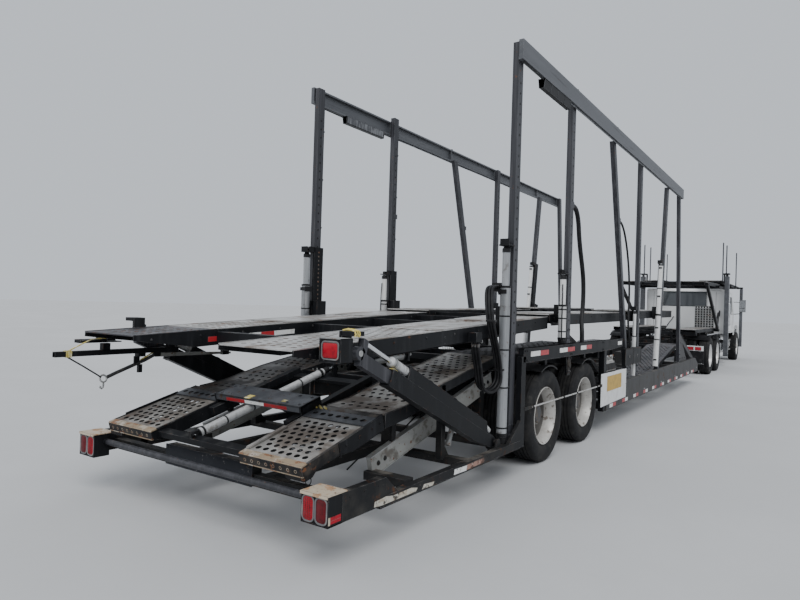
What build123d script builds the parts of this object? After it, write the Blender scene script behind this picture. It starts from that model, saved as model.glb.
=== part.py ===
from build123d import *
import os
from math import sin, cos, tan, radians, hypot, atan2, pi

# Car transporter: conventional tractor with a rack over the cab, hinged to a low stinger
# trailer that carries three lowered upper decks, a lower deck and slide-out rear ramps.
# Millimetres. +X forward, +Y left, +Z up. Stations below are measured forward from the
# rear face of the tail lamp boxes; place() moves them so that the origin is the
# bottom centre of the whole vehicle.

os.makedirs("parts", exist_ok=True)

# ---------------------------------------------------------------- driving dimensions
X_TAIL, X_NOSE = -340.0, 22870.0          # rearmost deck tube, front bumper
XC = (X_TAIL + X_NOSE) / 2                # station that becomes x = 0
Y_SIDE = 1295.0                           # half width over sills and lamp boxes
# trailer wheels
T_AXLES = (3391.0, 4638.0)
T_R, T_W, T_OUT, DUAL_GAP = 466.0, 255.0, 1270.0, 45.0
# tractor wheels
D_AXLES = (15040.0, 16360.0)
S_AXLE = 21550.0
D_R, D_OUT = 480.0, 1245.0
KING_Y, S_MID = 930.0, 1075.0             # kingpin and middle of the steered tyre
HITCH = 13590.0
# posts: station of the centre at the top and at the bottom, top z, bottom z, depth
POST_IN, POST_OUT = 1175.0, 1235.0
Z_RAIL0, Z_RAIL1 = 3789.0, 3971.0
POSTS = (  # name, x_top, x_bottom, z_top, z_bottom, depth
    ("p1", 2575.0, 2575.0, 3960.0, 338.0, 100.0),
    ("p2", 4060.0, 4060.0, 4020.0, 1175.0, 100.0),
    ("p3", 5690.0, 6690.0, 3800.0, 575.0, 95.0),
    ("p4", 7240.0, 7240.0, 3960.0, 575.0, 100.0),
    ("p5", 9215.0, 8745.0, 3800.0, 575.0, 120.0),
    ("p6", 10340.0, 10735.0, 3960.0, 575.0, 110.0),
)
RAIL_X0, RAIL_X1 = 2510.0, 10430.0
SILL_Z0, SILL_Z1 = 268.0, 575.0
# lift cylinders beside the posts: station, z base, z step, z top, r lower, r upper
CYL_Y = 1205.0
LIFTS = (  # name, x, z_base, z_step, z_top, r_low, r_up, bore
    ("p1", 2440.0, 338.0, 1740.0, 2090.0, 46.0, 34.0, 24.0),
    ("p2", 3930.0, 1175.0, 1600.0, 1925.0, 42.0, 32.0, 24.0),
    ("p4", 7120.0, 575.0, 1180.0, 1560.0, 30.0, 24.0, 16.0),
)
LIFT_REAR, LIFT_MID, LIFT_FRONT = 1450.0, 640.0, 1500.0
TRK_IN, TRK_OUT = 470.0, 1020.0           # lower tracks
AF, AT = (2290.0, 376.0), (380.0, 1235.0) # slanted lift arms: foot pin, tip
UTRK_IN, UTRK_OUT = 450.0, 1090.0         # upper tracks


# ---------------------------------------------------------------- helpers
def place(s):
    return Pos(-XC, 0, 0) * s


def bx(x0, x1, y0, y1, z0, z1):
    return Pos((x0 + x1) / 2, (y0 + y1) / 2, (z0 + z1) / 2) * Box(x1 - x0, y1 - y0, z1 - z0)


def xz(pts, y0, y1):
    w = Polyline(*[(x, y1, z) for x, z in pts], close=True)
    return extrude(make_face(w), amount=y1 - y0, dir=(0, -1, 0))


def xy(pts, z0, z1):
    w = Polyline(*[(x, y, z0) for x, y in pts], close=True)
    return extrude(make_face(w), amount=z1 - z0, dir=(0, 0, 1))


def yz(pts, x0, x1):
    w = Polyline(*[(x0, y, z) for y, z in pts], close=True)
    return extrude(make_face(w), amount=x1 - x0, dir=(1, 0, 0))


def bar(a, b, h, y0, y1, up=None):
    # straight bar between two stations (x, z); h is its depth, all above the line if up
    dx, dz = b[0] - a[0], b[1] - a[1]
    n = hypot(dx, dz)
    px, pz = -dz / n, dx / n
    lo, hi = (0.0, h) if up else (-h / 2, h / 2)
    if up is False:
        lo, hi = -h, 0.0
    return xz([(a[0] + px * lo, a[1] + pz * lo), (b[0] + px * lo, b[1] + pz * lo),
               (b[0] + px * hi, b[1] + pz * hi), (a[0] + px * hi, a[1] + pz * hi)], y0, y1)


def rod(a, b, r, y):
    # round bar in the plane of constant y
    d = Vector(b[0] - a[0], 0, b[1] - a[1])
    pl = Plane(origin=(a[0], y, a[1]), x_dir=(0, 1, 0), z_dir=d)
    return pl * Cylinder(r, d.length, align=(Align.CENTER, Align.CENTER, Align.MIN))


def ycyl(x, z, r, y0, y1):
    pl = Plane(origin=(x, y0, z), x_dir=(1, 0, 0), z_dir=(0, 1, 0))
    return pl * Cylinder(r, y1 - y0, align=(Align.CENTER, Align.CENTER, Align.MIN))


def xcyl(y, z, r, x0, x1):
    pl = Plane(origin=(x0, y, z), x_dir=(0, 1, 0), z_dir=(1, 0, 0))
    return pl * Cylinder(r, x1 - x0, align=(Align.CENTER, Align.CENTER, Align.MIN))


def zcyl(x, y, r, z0, z1):
    return Pos(x, y, z0) * Cylinder(r, z1 - z0, align=(Align.CENTER, Align.CENTER, Align.MIN))


def flip(s):
    return mirror(s, about=Plane.XZ)


def both(s):
    return [s, flip(s)]


def add(items):
    out = items[0]
    for it in items[1:]:
        out = out + it
    return out


def save(name, items):
    if not isinstance(items, (list, tuple)):
        items = [items]
    solids = []
    for it in items:
        solids += list(it.solids())
    moved = [place(s) for s in solids]
    shape = moved[0] if len(moved) == 1 else Compound(children=moved)
    export_step(shape, "parts/%s.step" % name)


def hose(name, d, pts):
    # free hose: straight runs joined by tangent arcs, as large as the runs allow
    v = [Vector(*q) for q in pts]
    radii = []
    for a, b, c in zip(v, v[1:], v[2:]):
        turn = radians((b - a).get_angle(c - b))
        radii.append(0.45 * min((b - a).length, (c - b).length) / tan(turn / 2))
    path = FilletPolyline(*v, radius=radii)
    tube = sweep(Plane(origin=path @ 0, z_dir=path % 0) * Circle(d / 2), path=path)
    print(name, "length %.0f" % path.length, "radii", [round(r) for r in radii],
          "volume ratio %.4f" % (tube.volume / (pi * d * d / 4 * path.length)))
    save(name, tube)


def post_x(p, z):
    _, xt, xb, zt, zb, _ = p
    return xb + (xt - xb) * (z - zb) / (zt - zb)


P = {p[0]: p for p in POSTS}

# ---------------------------------------------------------------- trailer: belly frame
# side sills as channels with the flanges inward, from ahead of the wheels to the front
def sill(x0, x1):
    return yz([(Y_SIDE, SILL_Z0), (Y_SIDE, SILL_Z1), (Y_SIDE - 70, SILL_Z1), (Y_SIDE - 70, SILL_Z1 - 12),
               (Y_SIDE - 12, SILL_Z1 - 12), (Y_SIDE - 12, SILL_Z0 + 12), (Y_SIDE - 70, SILL_Z0 + 12),
               (Y_SIDE - 70, SILL_Z0)], x0, x1)


SILL_X0, SILL_X1 = 5400.0, 12600.0
belly = both(sill(SILL_X0, SILL_X1 - 350))
# rounded-off front corners of the sills, cut back toward the neck
belly += both(xz([(SILL_X1 - 350, SILL_Z0), (SILL_X1 - 350, SILL_Z1), (SILL_X1, 430), (SILL_X1, SILL_Z0)],
                 Y_SIDE - 12, Y_SIDE))
for xb in (5400, 6250, 7100, 7950, 8800, 9650, 10500, 11350, 12200):
    belly.append(bx(xb, xb + 70, -(Y_SIDE - 12), Y_SIDE - 12, 290, 380))
belly.append(bx(SILL_X1 - 60, SILL_X1, -(Y_SIDE - 12), Y_SIDE - 12, 280, 430))
# longitudinal centre beams under the lower tracks
for y in (-560, 480):
    belly.append(bx(5400, SILL_X1 - 60, y, y + 80, 290, 380))
# front braces from the front posts down to the nose of the sill, and their gussets
P6 = POSTS[5]
p6_solid = xz([(P6[2] - P6[5] / 2, P6[4]), (P6[2] + P6[5] / 2, P6[4]), (P6[1] + P6[5] / 2, P6[3]), (P6[1] - P6[5] / 2, P6[3])],
              POST_IN, POST_OUT)
brace = bar((10660, 1110), (12560, 440), 95, 1180, POST_OUT)
brace += xz([(10690, 575), (10690, 1100), (10900, 1000), (11500, 575)], 1223, POST_OUT)
belly += both(brace - p6_solid)
# neck that reaches forward to the coupling, with its kingpin
NECK_Z0, NECK_Z1 = 478.0, 600.0
belly.append(xy([(12200, -430), (12660, -430), (13300, -230), (13800, -230), (13800, 230), (13300, 230),
                 (12660, 430), (12200, 430)], NECK_Z0, NECK_Z1))
belly.append(bx(12200, 12540, -430, 430, 375, NECK_Z0))
belly.append(zcyl(HITCH, 0, 25, 410, NECK_Z0))
save("belly_frame", add(belly))

# ---------------------------------------------------------------- trailer: wheel bay frame
bay = []
for y in (-520, 420):
    bay.append(bx(1700, 5200, y, y + 100, 640, 840))
    bay.append(bx(5200, 5470, y, y + 100, 640, 700))
for xb in (1760, 2620, 4000, 5100):
    bay.append(bx(xb, xb + 80, -420, 420, 680, 830))
for xb in (2720, 3975, 5180):
    for y in (-520, 420):
        bay.append(bx(xb, xb + 80, y, y + 100, 830, 951))
bay += both(bx(5330, 5400, 400, 1214, 290, 380))
bay += both(bx(5330, 5400, 420, 520, 375, 660))
save("wheel_bay_frame", add(bay))

# cross beams and the outer beams above the wheels, with their legs and hangers
BAY_Z0, BAY_Z1 = 951.0, 1008.0
fen = both(xz([(2700, 1040), (2700, 1175), (6150, 1175), (6150, 1065), (5600, 1040)], 1235, 1290))
for xb in (2720, 3975, 5180):
    fen.append(bx(xb, xb + 80, -1236, 1236, BAY_Z0, BAY_Z1))
    fen += both(bx(xb, xb + 80, 1180, 1236, BAY_Z1 - 2, 1120))
fen += both(bx(5300, 5400, 1215, 1285, 268, 1045))
fen += both(bx(2665, 2760, 1236, 1290, 268, 1100))
fen += both(xz([(3935, 1045), (4095, 1045), (4060, 830), (3970, 830)], 1236, 1270))
save("fender_beams", add(fen))


# ---------------------------------------------------------------- trailer: rear frame
rear = []
rear += both(bx(130, 560, Y_SIDE - 60, Y_SIDE, 286, 455))
rear += both(bx(500, 2665, Y_SIDE - 60, Y_SIDE, 268, 338))
rear += both(xz([(2420, 338), (2665, 338), (2665, 520)], Y_SIDE - 35, Y_SIDE - 5))
rear += both(bx(2380, 2665, 1100, Y_SIDE - 60, 268, 338))
rear.append(bx(255, 320, -(Y_SIDE - 60), Y_SIDE - 60, 300, 380))
rear.append(bx(240, 330, -420, 520, 296, 446))
rear.append(bx(1700, 1780, -(Y_SIDE - 60), Y_SIDE - 60, 275, 335))
rear.append(bx(2480, 2560, -1100, 1100, 275, 335))
for y in (-520, 420):
    rear.append(bx(320, 1710, y + 20, y + 80, 300, 370))
    rear.append(bx(1700, 1780, y, y + 100, 330, 640))
# slanted flat support arms inside the sills
rear += both(bar((900, 380), (2800, 850), 150, 880, 925))
rear += both(bx(2560, 2640, 840, 926, 275, 760))
rear += both(bx(860, 960, 880, 1236, 300, 360))
rear += both(bx(2725, 2795, 885, 920, 830, 951))
rear += both(bx(1150, 1200, 890, 915, 470, 784))
rear += both(xz([(2240, 336), (2340, 336), (2320, 405), (2260, 405)], Y_SIDE - 60, Y_SIDE - 44))
rear += both(ycyl(AF[0], AF[1], 20, 1125, Y_SIDE - 59))
save("rear_frame", add(rear))

# tail lamp boxes with the bumper tube that joins them
bumper = both(bx(0, 129, 1090, Y_SIDE, 286, 459)) + both(bx(-6, 170, 1086, Y_SIDE, 459, 467))
bumper.append(ycyl(100, 398, 22, -1091, 1091))
save("rear_bumper", add(bumper))

# ---------------------------------------------------------------- trailer: axles
axl = []
for xa in T_AXLES:
    ax = ycyl(xa, T_R, 64, -690, 690) + ycyl(xa, T_R, 44, -960, 960)
    for y in (-500, 440):
        ax += bx(xa - 70, xa + 70, y, y + 60, T_R - 70, 640)
    axl.append(ax)
save("trailer_axles", axl)

# ---------------------------------------------------------------- posts and overhead rails
HOSE_CLIP = {"p2": (4140.0, 2720.0), "p3": (6085.0, 2800.0)}      # front face and height of the hose brackets
posts = []
for name, xt, xb, zt, zb, d in POSTS:
    one = xz([(xb - d / 2, zb), (xb + d / 2, zb), (xt + d / 2, zt), (xt - d / 2, zt)], POST_IN, POST_OUT)
    if name in HOSE_CLIP:
        xc, zc = HOSE_CLIP[name]
        one = one + bx(xc - 45, xc, 1177, 1233, zc - 30, zc + 30)
    posts += both(one)
save("side_posts", posts)

rails = both(yz([(POST_OUT, Z_RAIL0), (1281, Z_RAIL0), (1281, Z_RAIL0 + 24), (POST_OUT + 12, Z_RAIL0 + 24),
                 (POST_OUT + 12, Z_RAIL1 - 14), (1281, Z_RAIL1 - 14), (1281, Z_RAIL1), (POST_OUT, Z_RAIL1)],
                RAIL_X0, RAIL_X1)
             + yz([(1205, Z_RAIL0 + 2), (1275, Z_RAIL0 + 2), (1262, Z_RAIL0 - 88), (1214, Z_RAIL0 - 88)], 3060, 3830))
save("overhead_rails", rails)

# ---------------------------------------------------------------- lower deck tracks
def trough(pts, y0, y1, t=12.0, lip=70.0, w=8.0):
    # a runway pressed from plate: a top skin along the stations with a side plate each side
    up = [(x, z) for x, z in pts]
    dn = [(x, z - t) for x, z in reversed(pts)]
    out = xz(up + dn, y0, y1)
    side = up + [(x, z - lip) for x, z in reversed(pts)]
    return out + xz(side, y0, y0 + w) + xz(side, y1 - w, y1)


LOW = ((912, 771), (1180, 800), (1640, 905), (2700, 1085), (5250, 1122), (6500, 470), (9250, 470), (11350, 850), (12540, 850))


def low_z(x):
    for (xa, za), (xb, zb) in zip(LOW, LOW[1:]):
        if xa <= x <= xb:
            return za + (zb - za) * (x - xa) / (xb - xa)


runs = ((0, 3, 100.0), (2, 5, 70.0), (4, 6, 70.0), (5, 9, 70.0))       # first station, last station, side depth
pieces = [trough(LOW[a:b], TRK_IN, TRK_OUT, lip=lip) for a, b, lip in runs]
lowtrk = {1: both(add(pieces[:2])), 2: both(add(pieces[2:]))}           # over and behind the wheels; ahead of them
legs = [[], []]
for xb in (6520, 7970, 9160, 10520, 11370, 12230):
    legs[0] += both(bx(xb, xb + 50, 500, 560, 380, low_z(xb) - 8))
for xb in (2740, 3995, 5195):
    legs[1] += both(bx(xb, xb + 40, 560, 900, BAY_Z1, low_z(xb) - 8))
cross = []
for xb in (1690, 2640, 11360, 12480):
    cross.append(bx(xb, xb + 60, -TRK_OUT, TRK_OUT, low_z(xb) - 70, low_z(xb) - 10))
save("lower_tracks_front", add(lowtrk[2] + legs[0] + cross[2:]))
save("lower_tracks_rear", add(lowtrk[1] + legs[1] + cross[:2]))

# ---------------------------------------------------------------- slide-out rear ramps
R0, R1 = (70.0, 565.0), (1640.0, 974.0)
RS = atan2(R1[1] - R0[1], R1[0] - R0[0])
RC, RSN = cos(RS), sin(RS)


def ramp_pt(s, h):
    # point at distance s along the ramp from its rear lip, h above its top skin
    return (R0[0] + s * RC - h * RSN, R0[1] + s * RSN + h * RC)


RL = 830.0                                   # visible length of the sliding ramps
SIDE_D = 115.0                               # depth of their side plates


def ramp_bar(s0, s1, h0, h1, y0, y1):
    return xz([ramp_pt(s0, h0), ramp_pt(s1, h0), ramp_pt(s1, h1), ramp_pt(s0, h1)], y0, y1)


ramps = []
for y0, y1 in ((TRK_IN, TRK_OUT), (-TRK_OUT, -TRK_IN)):
    skin = ramp_bar(0, RL, -8, 0, y0, y1)
    side = [ramp_pt(0, 0), ramp_pt(0, -70), ramp_pt(350, -80), ramp_pt(480, -SIDE_D), ramp_pt(RL, -SIDE_D), ramp_pt(RL, 0)]
    skin += xz(side, y0, y0 + 10) + xz(side, y1 - 10, y1)
    skin += ramp_bar(0, 12, -70, 0, y0, y1)
    ramps.append(skin)
# rear spreader that carries the cylinder's eye, bridge plate over the cylinder, tongue rails
ramps.append(ramp_bar(60, 130, -66, -20, -TRK_IN, TRK_IN))
ramps += both(ramp_bar(600, 820, -60, 75, TRK_IN - 18, TRK_IN))
ramps.append(ramp_bar(600, 820, 63, 75, -TRK_IN, TRK_IN))
ramps.append(ramp_bar(600, 612, 28, 75, -TRK_IN, TRK_IN))
ramps += both(ramp_bar(740, 820, -60, 0, 436, TRK_IN - 17))
ramps += both(ramp_bar(500, 1500, -60, 0, 380, 440))
ramps.append(ramp_bar(1400, 1480, -72, -46, -440, 440))
save("loading_ramps", add(ramps))

# extension cylinder lying between the ramps: the barrel rides with them, the rod is held in front
CYR_Y = 100.0
CH = -10.0                                   # its axis relative to the ramp skin
barrel = rod(ramp_pt(134, CH), ramp_pt(1480, CH), 33, CYR_Y) + rod(ramp_pt(1480, CH), ramp_pt(1550, CH), 28, CYR_Y)
barrel -= rod(ramp_pt(160, CH), ramp_pt(1560, CH), 16.5, CYR_Y)
barrel += ramp_bar(64, 136, -20, 16, CYR_Y - 14, CYR_Y + 14)
save("ramp_cylinder_barrel", barrel)
LUG_X = 1640.0
LUG_S = (LUG_X - R0[0] + CH * RSN) / RC
rodr = rod(ramp_pt(600, CH), ramp_pt(LUG_S + 4, CH), 14.5, CYR_Y)
rodr += bx(LUG_X, 1690, CYR_Y - 16, CYR_Y + 16, low_z(1690) - 70, 1000)
save("ramp_cylinder_rod", rodr)

# ---------------------------------------------------------------- lift cylinders (barrels) on the posts
barrels = []
for name, x, zb, zs, zt, r1, r2, bore in LIFTS:
    one = zcyl(x, CYL_Y, r1, zb, zs) + zcyl(x, CYL_Y, r2, zs, zt) - zcyl(x, CYL_Y, bore, zb + 90, zt + 5)
    barrels += both(one)
# long inclined barrel behind post p5
P5 = P["p5"]
A5 = atan2(P5[1] - P5[2], P5[3] - P5[4])     # lean of the post from vertical
U5 = (sin(A5), cos(A5))
OFF5 = 60.0 + 52.0


def p5pt(z, off):
    # point at height z on the post's axis, moved off backward across it
    return (post_x(P5, z) - off * U5[1], z + off * U5[0])


one = rod(p5pt(600, OFF5), p5pt(1500, OFF5), 44, CYL_Y) + rod(p5pt(1500, OFF5), p5pt(2380, OFF5), 36, CYL_Y)
one -= rod(p5pt(700, OFF5), p5pt(2400, OFF5), 24, CYL_Y)
barrels += both(one)
save("lift_cylinder_barrels", barrels)


# ---------------------------------------------------------------- upper decks
def deck_track(x0, z0, x1, z1, y0, y1, depth=125.0, tail=90.0, tip=0.55):
    # perforated runway with a side plate along each edge; the plates taper over the tail
    k = (z1 - z0) / (x1 - x0)
    out = xz([(x0, z0), (x1, z1), (x1, z1 - 10), (x0, z0 - 10)], y0, y1)
    sd = [(x0, z0), (x1, z1), (x1, z1 - depth), (x0 + tail, z0 + k * tail - depth), (x0, z0 - depth * tip)]
    return out + xz(sd, y0, y0 + 10) + xz(sd, y1 - 10, y1)


def collar(xp, d, z0, z1, reach):
    # guide that grips a vertical post from inside, with its arm to the deck
    hx = d / 2
    c = bx(xp - hx - 24, xp + hx + 24, reach, 1168, z0, z1)
    c += bx(xp - hx - 24, xp - hx - 8, 1167, 1229, z0, z1)
    c += bx(xp + hx + 8, xp + hx + 24, 1167, 1229, z0, z1)
    return c


# rear deck: carried by post p1 and the slanted lift arms
RD = ((-100.0, 1268.0), (3800.0, 1462.0))
rd_z = lambda x: RD[0][1] + (RD[1][1] - RD[0][1]) * (x - RD[0][0]) / (RD[1][0] - RD[0][0])
rdeck = both(deck_track(RD[0][0], RD[0][1], RD[1][0], RD[1][1], UTRK_IN, UTRK_OUT, tail=520.0, tip=0.3))
for x in (620.0, 1750.0, 2700.0, 3560.0):
    z = rd_z(x)
    rdeck.append(bx(x, x + 90, 5 - UTRK_OUT, UTRK_OUT - 5, z - 105, z - 20))
rdeck += both(collar(2575, 100, 1300, 1560, UTRK_OUT - 5))
rdeck += both(bx(2501, 2649, 1150, 1168, 1500, 2160) + bx(2394, 2515, 1150, 1250, 2098, 2160))
LAMP_X0 = -130.0
# hooks at the tail over the upper eyes of the lift arms
rdeck += both(bx(300, 400, UTRK_OUT - 5, 1106, 1200, 1372) + bx(300, 400, 1100, 1205, 1344, 1372))
# square tube that sticks out behind the left runway
rdeck.append(bx(X_TAIL, 700, 1040, 1080, 1084, 1124) + bx(20, 80, 1040, 1088, 1120, 1175) + bx(600, 660, 1040, 1088, 1120, 1200))
# hose blocks beside post p1 and on the deck's side, right hand
rdeck.append(bx(2452, 2560, -1153, -1063, 1690, 1770))
rdeck.append(bx(1960, 2060, -1178, -1089, 1250, 1330))
# flat bracket with a small lamp outside the left runway's tail
rdeck.append(bx(LAMP_X0, 200, UTRK_OUT - 4, 1180, 1178, 1204) + zcyl(LAMP_X0 + 190, 1135, 42, 1203, 1250))
save("rear_deck", add(rdeck))
# one lamp box outside the right runway's tail
box = bx(80, 190, -1285, -1120, 1195, 1340) - bx(79, 100, -1273, -1132, 1207, 1328) + bx(120, 180, -1121, -UTRK_OUT, 1200, 1260)
save("deck_lamp_box", box)
save("rear_deck_rods", both(zcyl(2440, CYL_Y, 21, 560, 2098)))

# lift arms: pinned on the sills, the inner arm slides out as the deck rises
AL = hypot(AF[0] - AT[0], AF[1] - AT[1])
AU = ((AT[0] - AF[0]) / AL, (AT[1] - AF[1]) / AL)


def arm_pt(s, h):
    return (AF[0] + AU[0] * s + AU[1] * h, AF[1] + AU[1] * s - AU[0] * h)


AY0, AY1 = 1135.0, 1215.0
AYM = (AY0 + AY1) / 2
# the outer box carries a cylinder on its back; the inner box and the cylinder's rod share the upper eye
ROD_H = 80.0
outer = xz([arm_pt(-48, -20), arm_pt(-48, 25), arm_pt(60, 60), arm_pt(200, 120), arm_pt(1550, 120), arm_pt(1550, 30), arm_pt(1740, 30),
            arm_pt(1740, -86), arm_pt(300, -86), arm_pt(150, -65), arm_pt(60, -65)], AY0, AY1)
outer += rod(arm_pt(1540, ROD_H), arm_pt(1750, ROD_H), 35, AYM)
outer -= rod(arm_pt(700, ROD_H), arm_pt(1760, ROD_H), 21, AYM)
outer -= xz([arm_pt(250, -78), arm_pt(250, 22), arm_pt(1760, 22), arm_pt(1760, -78)], AY0 + 7, AY1 - 7)
outer -= ycyl(AF[0], AF[1], 21.5, AY0 - 5, AY1 + 5)
save("lift_arms", both(outer))
inner = xz([arm_pt(300, -72), arm_pt(300, 16), arm_pt(AL - 30, 16), arm_pt(AL - 30, -72)], AYM - 27, AYM + 27)
inner += rod(arm_pt(760, ROD_H), arm_pt(AL - 20, ROD_H), 17, AYM)
inner += xz([arm_pt(AL - 70, -72), arm_pt(AL - 20, -72), arm_pt(AL + 10, 100), arm_pt(AL - 40, 100)], AYM - 24, AYM + 24)
inner += ycyl(AT[0], AT[1], 44, AYM - 24, AYM + 24)
save("lift_arm_slides", both(inner))

# middle deck: posts p2 and p4
MD = ((3850.0, 1490.0), (7060.0, 1530.0))
md_z = lambda x: MD[0][1] + (MD[1][1] - MD[0][1]) * (x - MD[0][0]) / (MD[1][0] - MD[0][0])
mdeck = both(deck_track(MD[0][0], MD[0][1], MD[1][0], MD[1][1], UTRK_IN, UTRK_OUT))
for x in (4010.0, 5300.0, 6900.0):
    z = md_z(x)
    mdeck.append(bx(x, x + 90, 5 - UTRK_OUT, UTRK_OUT - 5, z - 105, z - 20))
mdeck += both(collar(4060, 100, 1400, 1600, UTRK_OUT - 5))
mdeck += both(bx(3986, 4134, 1150, 1168, 1560, 1990) + bx(3888, 4000, 1150, 1248, 1932, 1990))
mdeck += both(collar(7240, 100, 1400, 1560, UTRK_OUT - 5) + bx(6900, 7200, UTRK_OUT - 5, 1150, 1420, 1500))
mdeck += both(bx(7166, 7314, 1150, 1168, 1500, 1630) + bx(7090, 7180, 1150, 1230, 1568, 1630))
save("middle_deck", add(mdeck))
save("middle_deck_rods", both(zcyl(3930, CYL_Y, 21, 1300, 1932)) + both(zcyl(7120, CYL_Y, 13, 700, 1568)))

# front deck: slides along the inclined posts p5
FD = ((7400.0, 1560.0), (10560.0, 1590.0))
fd_z = lambda x: FD[0][1] + (FD[1][1] - FD[0][1]) * (x - FD[0][0]) / (FD[1][0] - FD[0][0])
fdeck = both(deck_track(FD[0][0], FD[0][1], FD[1][0], FD[1][1], UTRK_IN, UTRK_OUT))
for x in (7620.0, 8860.0, 10350.0):
    z = fd_z(x)
    fdeck.append(bx(x, x + 90, 5 - UTRK_OUT, UTRK_OUT - 5, z - 105, z - 20))


def p5box(z0, z1, a, b, y0, y1):
    # block alongside post p5 between heights, a..b across it (rearward positive)
    return xz([p5pt(z0, a), p5pt(z1, a), p5pt(z1, b), p5pt(z0, b)], y0, y1)


fc = p5box(1440, 1640, -92, 62, UTRK_OUT - 5, 1166)
fc += p5box(1440, 1640, -92, -70, 1165, 1228)
fc += p5box(1600, 2450, -92, 62, 1150, 1166)
fc += p5box(2394, 2450, 60, 150, 1150, 1228)
fdeck += both(fc)
save("front_deck", add(fdeck))
save("front_deck_rods", both(rod(p5pt(800, OFF5), p5pt(2394, OFF5), 21, CYL_Y)))

# ---------------------------------------------------------------- side equipment of the trailer
equip = both(bx(5420, 6060, 1150, 1262, 700, 730) + bx(5480, 5960, 1165, 1250, 729, 960))
equip += both(bx(6320, 7240, 1237, 1290, 780, 1020))
equip += both(xz([(5402, 576), (6300, 576), (6300, 800), (5402, 800)], 1264, 1276))
equip += both(rod((2925, 612), (5262, 612), 9, 1286) + bx(2760, 2936, 1279, 1293, 598, 626) + bx(5250, 5300, 1279, 1293, 598, 626))
save("side_equipment", equip)


# ---------------------------------------------------------------- wheels
def spin(pts):
    # revolve (radius, y) points about the wheel's own axle line
    w = Polyline(*[(r, y, 0) for r, y in pts], close=True)
    return revolve(make_face(w), axis=Axis.Y)


def tyre(R, w, yc):
    h = w / 2
    rb = 288.0
    pts = [(rb, yc - h * .72), (rb + 30, yc - h * .86), (rb + 90, yc - h), (R - 48, yc - h * .98), (R - 14, yc - h * .86),
           (R, yc - h * .62), (R, yc + h * .62), (R - 14, yc + h * .86), (R - 48, yc + h * .98), (rb + 90, yc + h),
           (rb + 30, yc + h * .86), (rb, yc + h * .72)]
    return spin(pts)


def dual_rims(y_out, w, gap, s=1):
    # two dished discs bolted back to back on one hub; y grows outboard
    yo, yi = y_out - w / 2, y_out - w * 1.5 - gap
    ym = (yo + yi) / 2
    half = [(47, ym), (47, ym + 128), (96, ym + 128), (104, ym + 100), (112, ym + 14), (205, ym + 14), (238, ym + 34), (252, ym + 52),
            (252, yo + w * .36), (285, yo + w * .36 + 14), (287.5, yo + w * .36 + 14), (287.5, yo - w * .40), (268, yo - w * .40),
            (268, ym + 44), (248, ym + 18), (226, ym)]
    a = spin(half)
    other = [(r, 2 * ym - y) for r, y in half]
    other = [(r, y) for r, y in other]
    b = spin(other)
    return a + b


def wheel_nodes(tag, x, R, y_out, side):
    t = [tyre(R, T_W, y_out - T_W / 2), tyre(R, T_W, y_out - T_W * 1.5 - DUAL_GAP)]
    r = dual_rims(y_out, T_W, DUAL_GAP)
    mv = Pos(x, 0, R)
    t = [mv * q for q in t]
    r = mv * r
    if side < 0:
        t = [flip(q) for q in t]
        r = flip(r)
    save("wheels_" + tag, t + [r])


SIDES = (("left", 1), ("right", -1))
for sn, sg in SIDES:
    wheel_nodes("trailer_rear_" + sn, T_AXLES[0], T_R, T_OUT, sg)
    wheel_nodes("trailer_front_" + sn, T_AXLES[1], T_R, T_OUT, sg)
    wheel_nodes("drive_rear_" + sn, D_AXLES[0], D_R, D_OUT, sg)
    wheel_nodes("drive_front_" + sn, D_AXLES[1], D_R, D_OUT, sg)
    ty = Pos(S_AXLE, 0, D_R) * tyre(D_R, 265, S_MID)
    rm = Pos(S_AXLE, 0, D_R) * spin([(36, S_MID - 60), (36, S_MID + 96), (84, S_MID + 96), (92, S_MID + 62), (112, S_MID + 58), (205, S_MID + 58),
                                     (240, S_MID + 30), (252, S_MID + 30), (252, S_MID + 96), (285, S_MID + 110), (287.5, S_MID + 110),
                                     (287.5, S_MID - 106), (262, S_MID - 106), (262, S_MID + 18), (236, S_MID + 18), (200, S_MID + 44),
                                     (112, S_MID + 44), (100, S_MID - 60)])
    if sg < 0:
        ty, rm = flip(ty), flip(rm)
    save("wheel_steer_" + sn, [ty, rm])
    kn = bx(S_AXLE - 50, S_AXLE + 50, KING_Y - 48, S_MID - 66, 350, 610) - bx(S_AXLE - 60, S_AXLE + 60, KING_Y - 60, KING_Y + 60, 411, 529)
    kn -= zcyl(S_AXLE, KING_Y, 22, 340, 620)
    kn += ycyl(S_AXLE, D_R, 70, S_MID - 70, S_MID - 62) + ycyl(S_AXLE, D_R, 33, S_MID - 70, S_MID + 90)
    kn += bx(S_AXLE - 240, S_AXLE - 48, KING_Y - 44, KING_Y, 574, 608)
    if sg < 0:
        kn = flip(kn)
    save("knuckle_" + sn, kn)

# ---------------------------------------------------------------- tractor frame
fr = []
fr += both(bx(14200, 22620, 395, 440, 620, 880))
for xb in (14250, 15660, 17000, 18600, 20400, 22480):
    fr.append(bx(xb, xb + 80, -396, 396, 660, 840))
# low coupling behind the drive wheels
fr += both(bx(13930, 14560, 300, 342, 395, 882) + bx(14200, 14560, 341, 396, 700, 860))
fr.append(bx(13210, 14560, -300, 300, 395, 430) + bx(13930, 14560, -342, 342, 395, 430))
fr.append(zcyl(HITCH, 0, 330, 429, 470))
fr += [zcyl(HITCH, 0, 330, 429, 470)]
frame_s = add(fr) - zcyl(HITCH, 0, 28, 380, 480)
# rear lamp bar and the two dark panels below it, on arms from the rails
frame_s += bx(13570, 13630, -1270, 1270, 655, 775) + bx(13630, 14210, 395, 440, 660, 770) + bx(13630, 14210, -440, -395, 660, 770)
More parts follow.
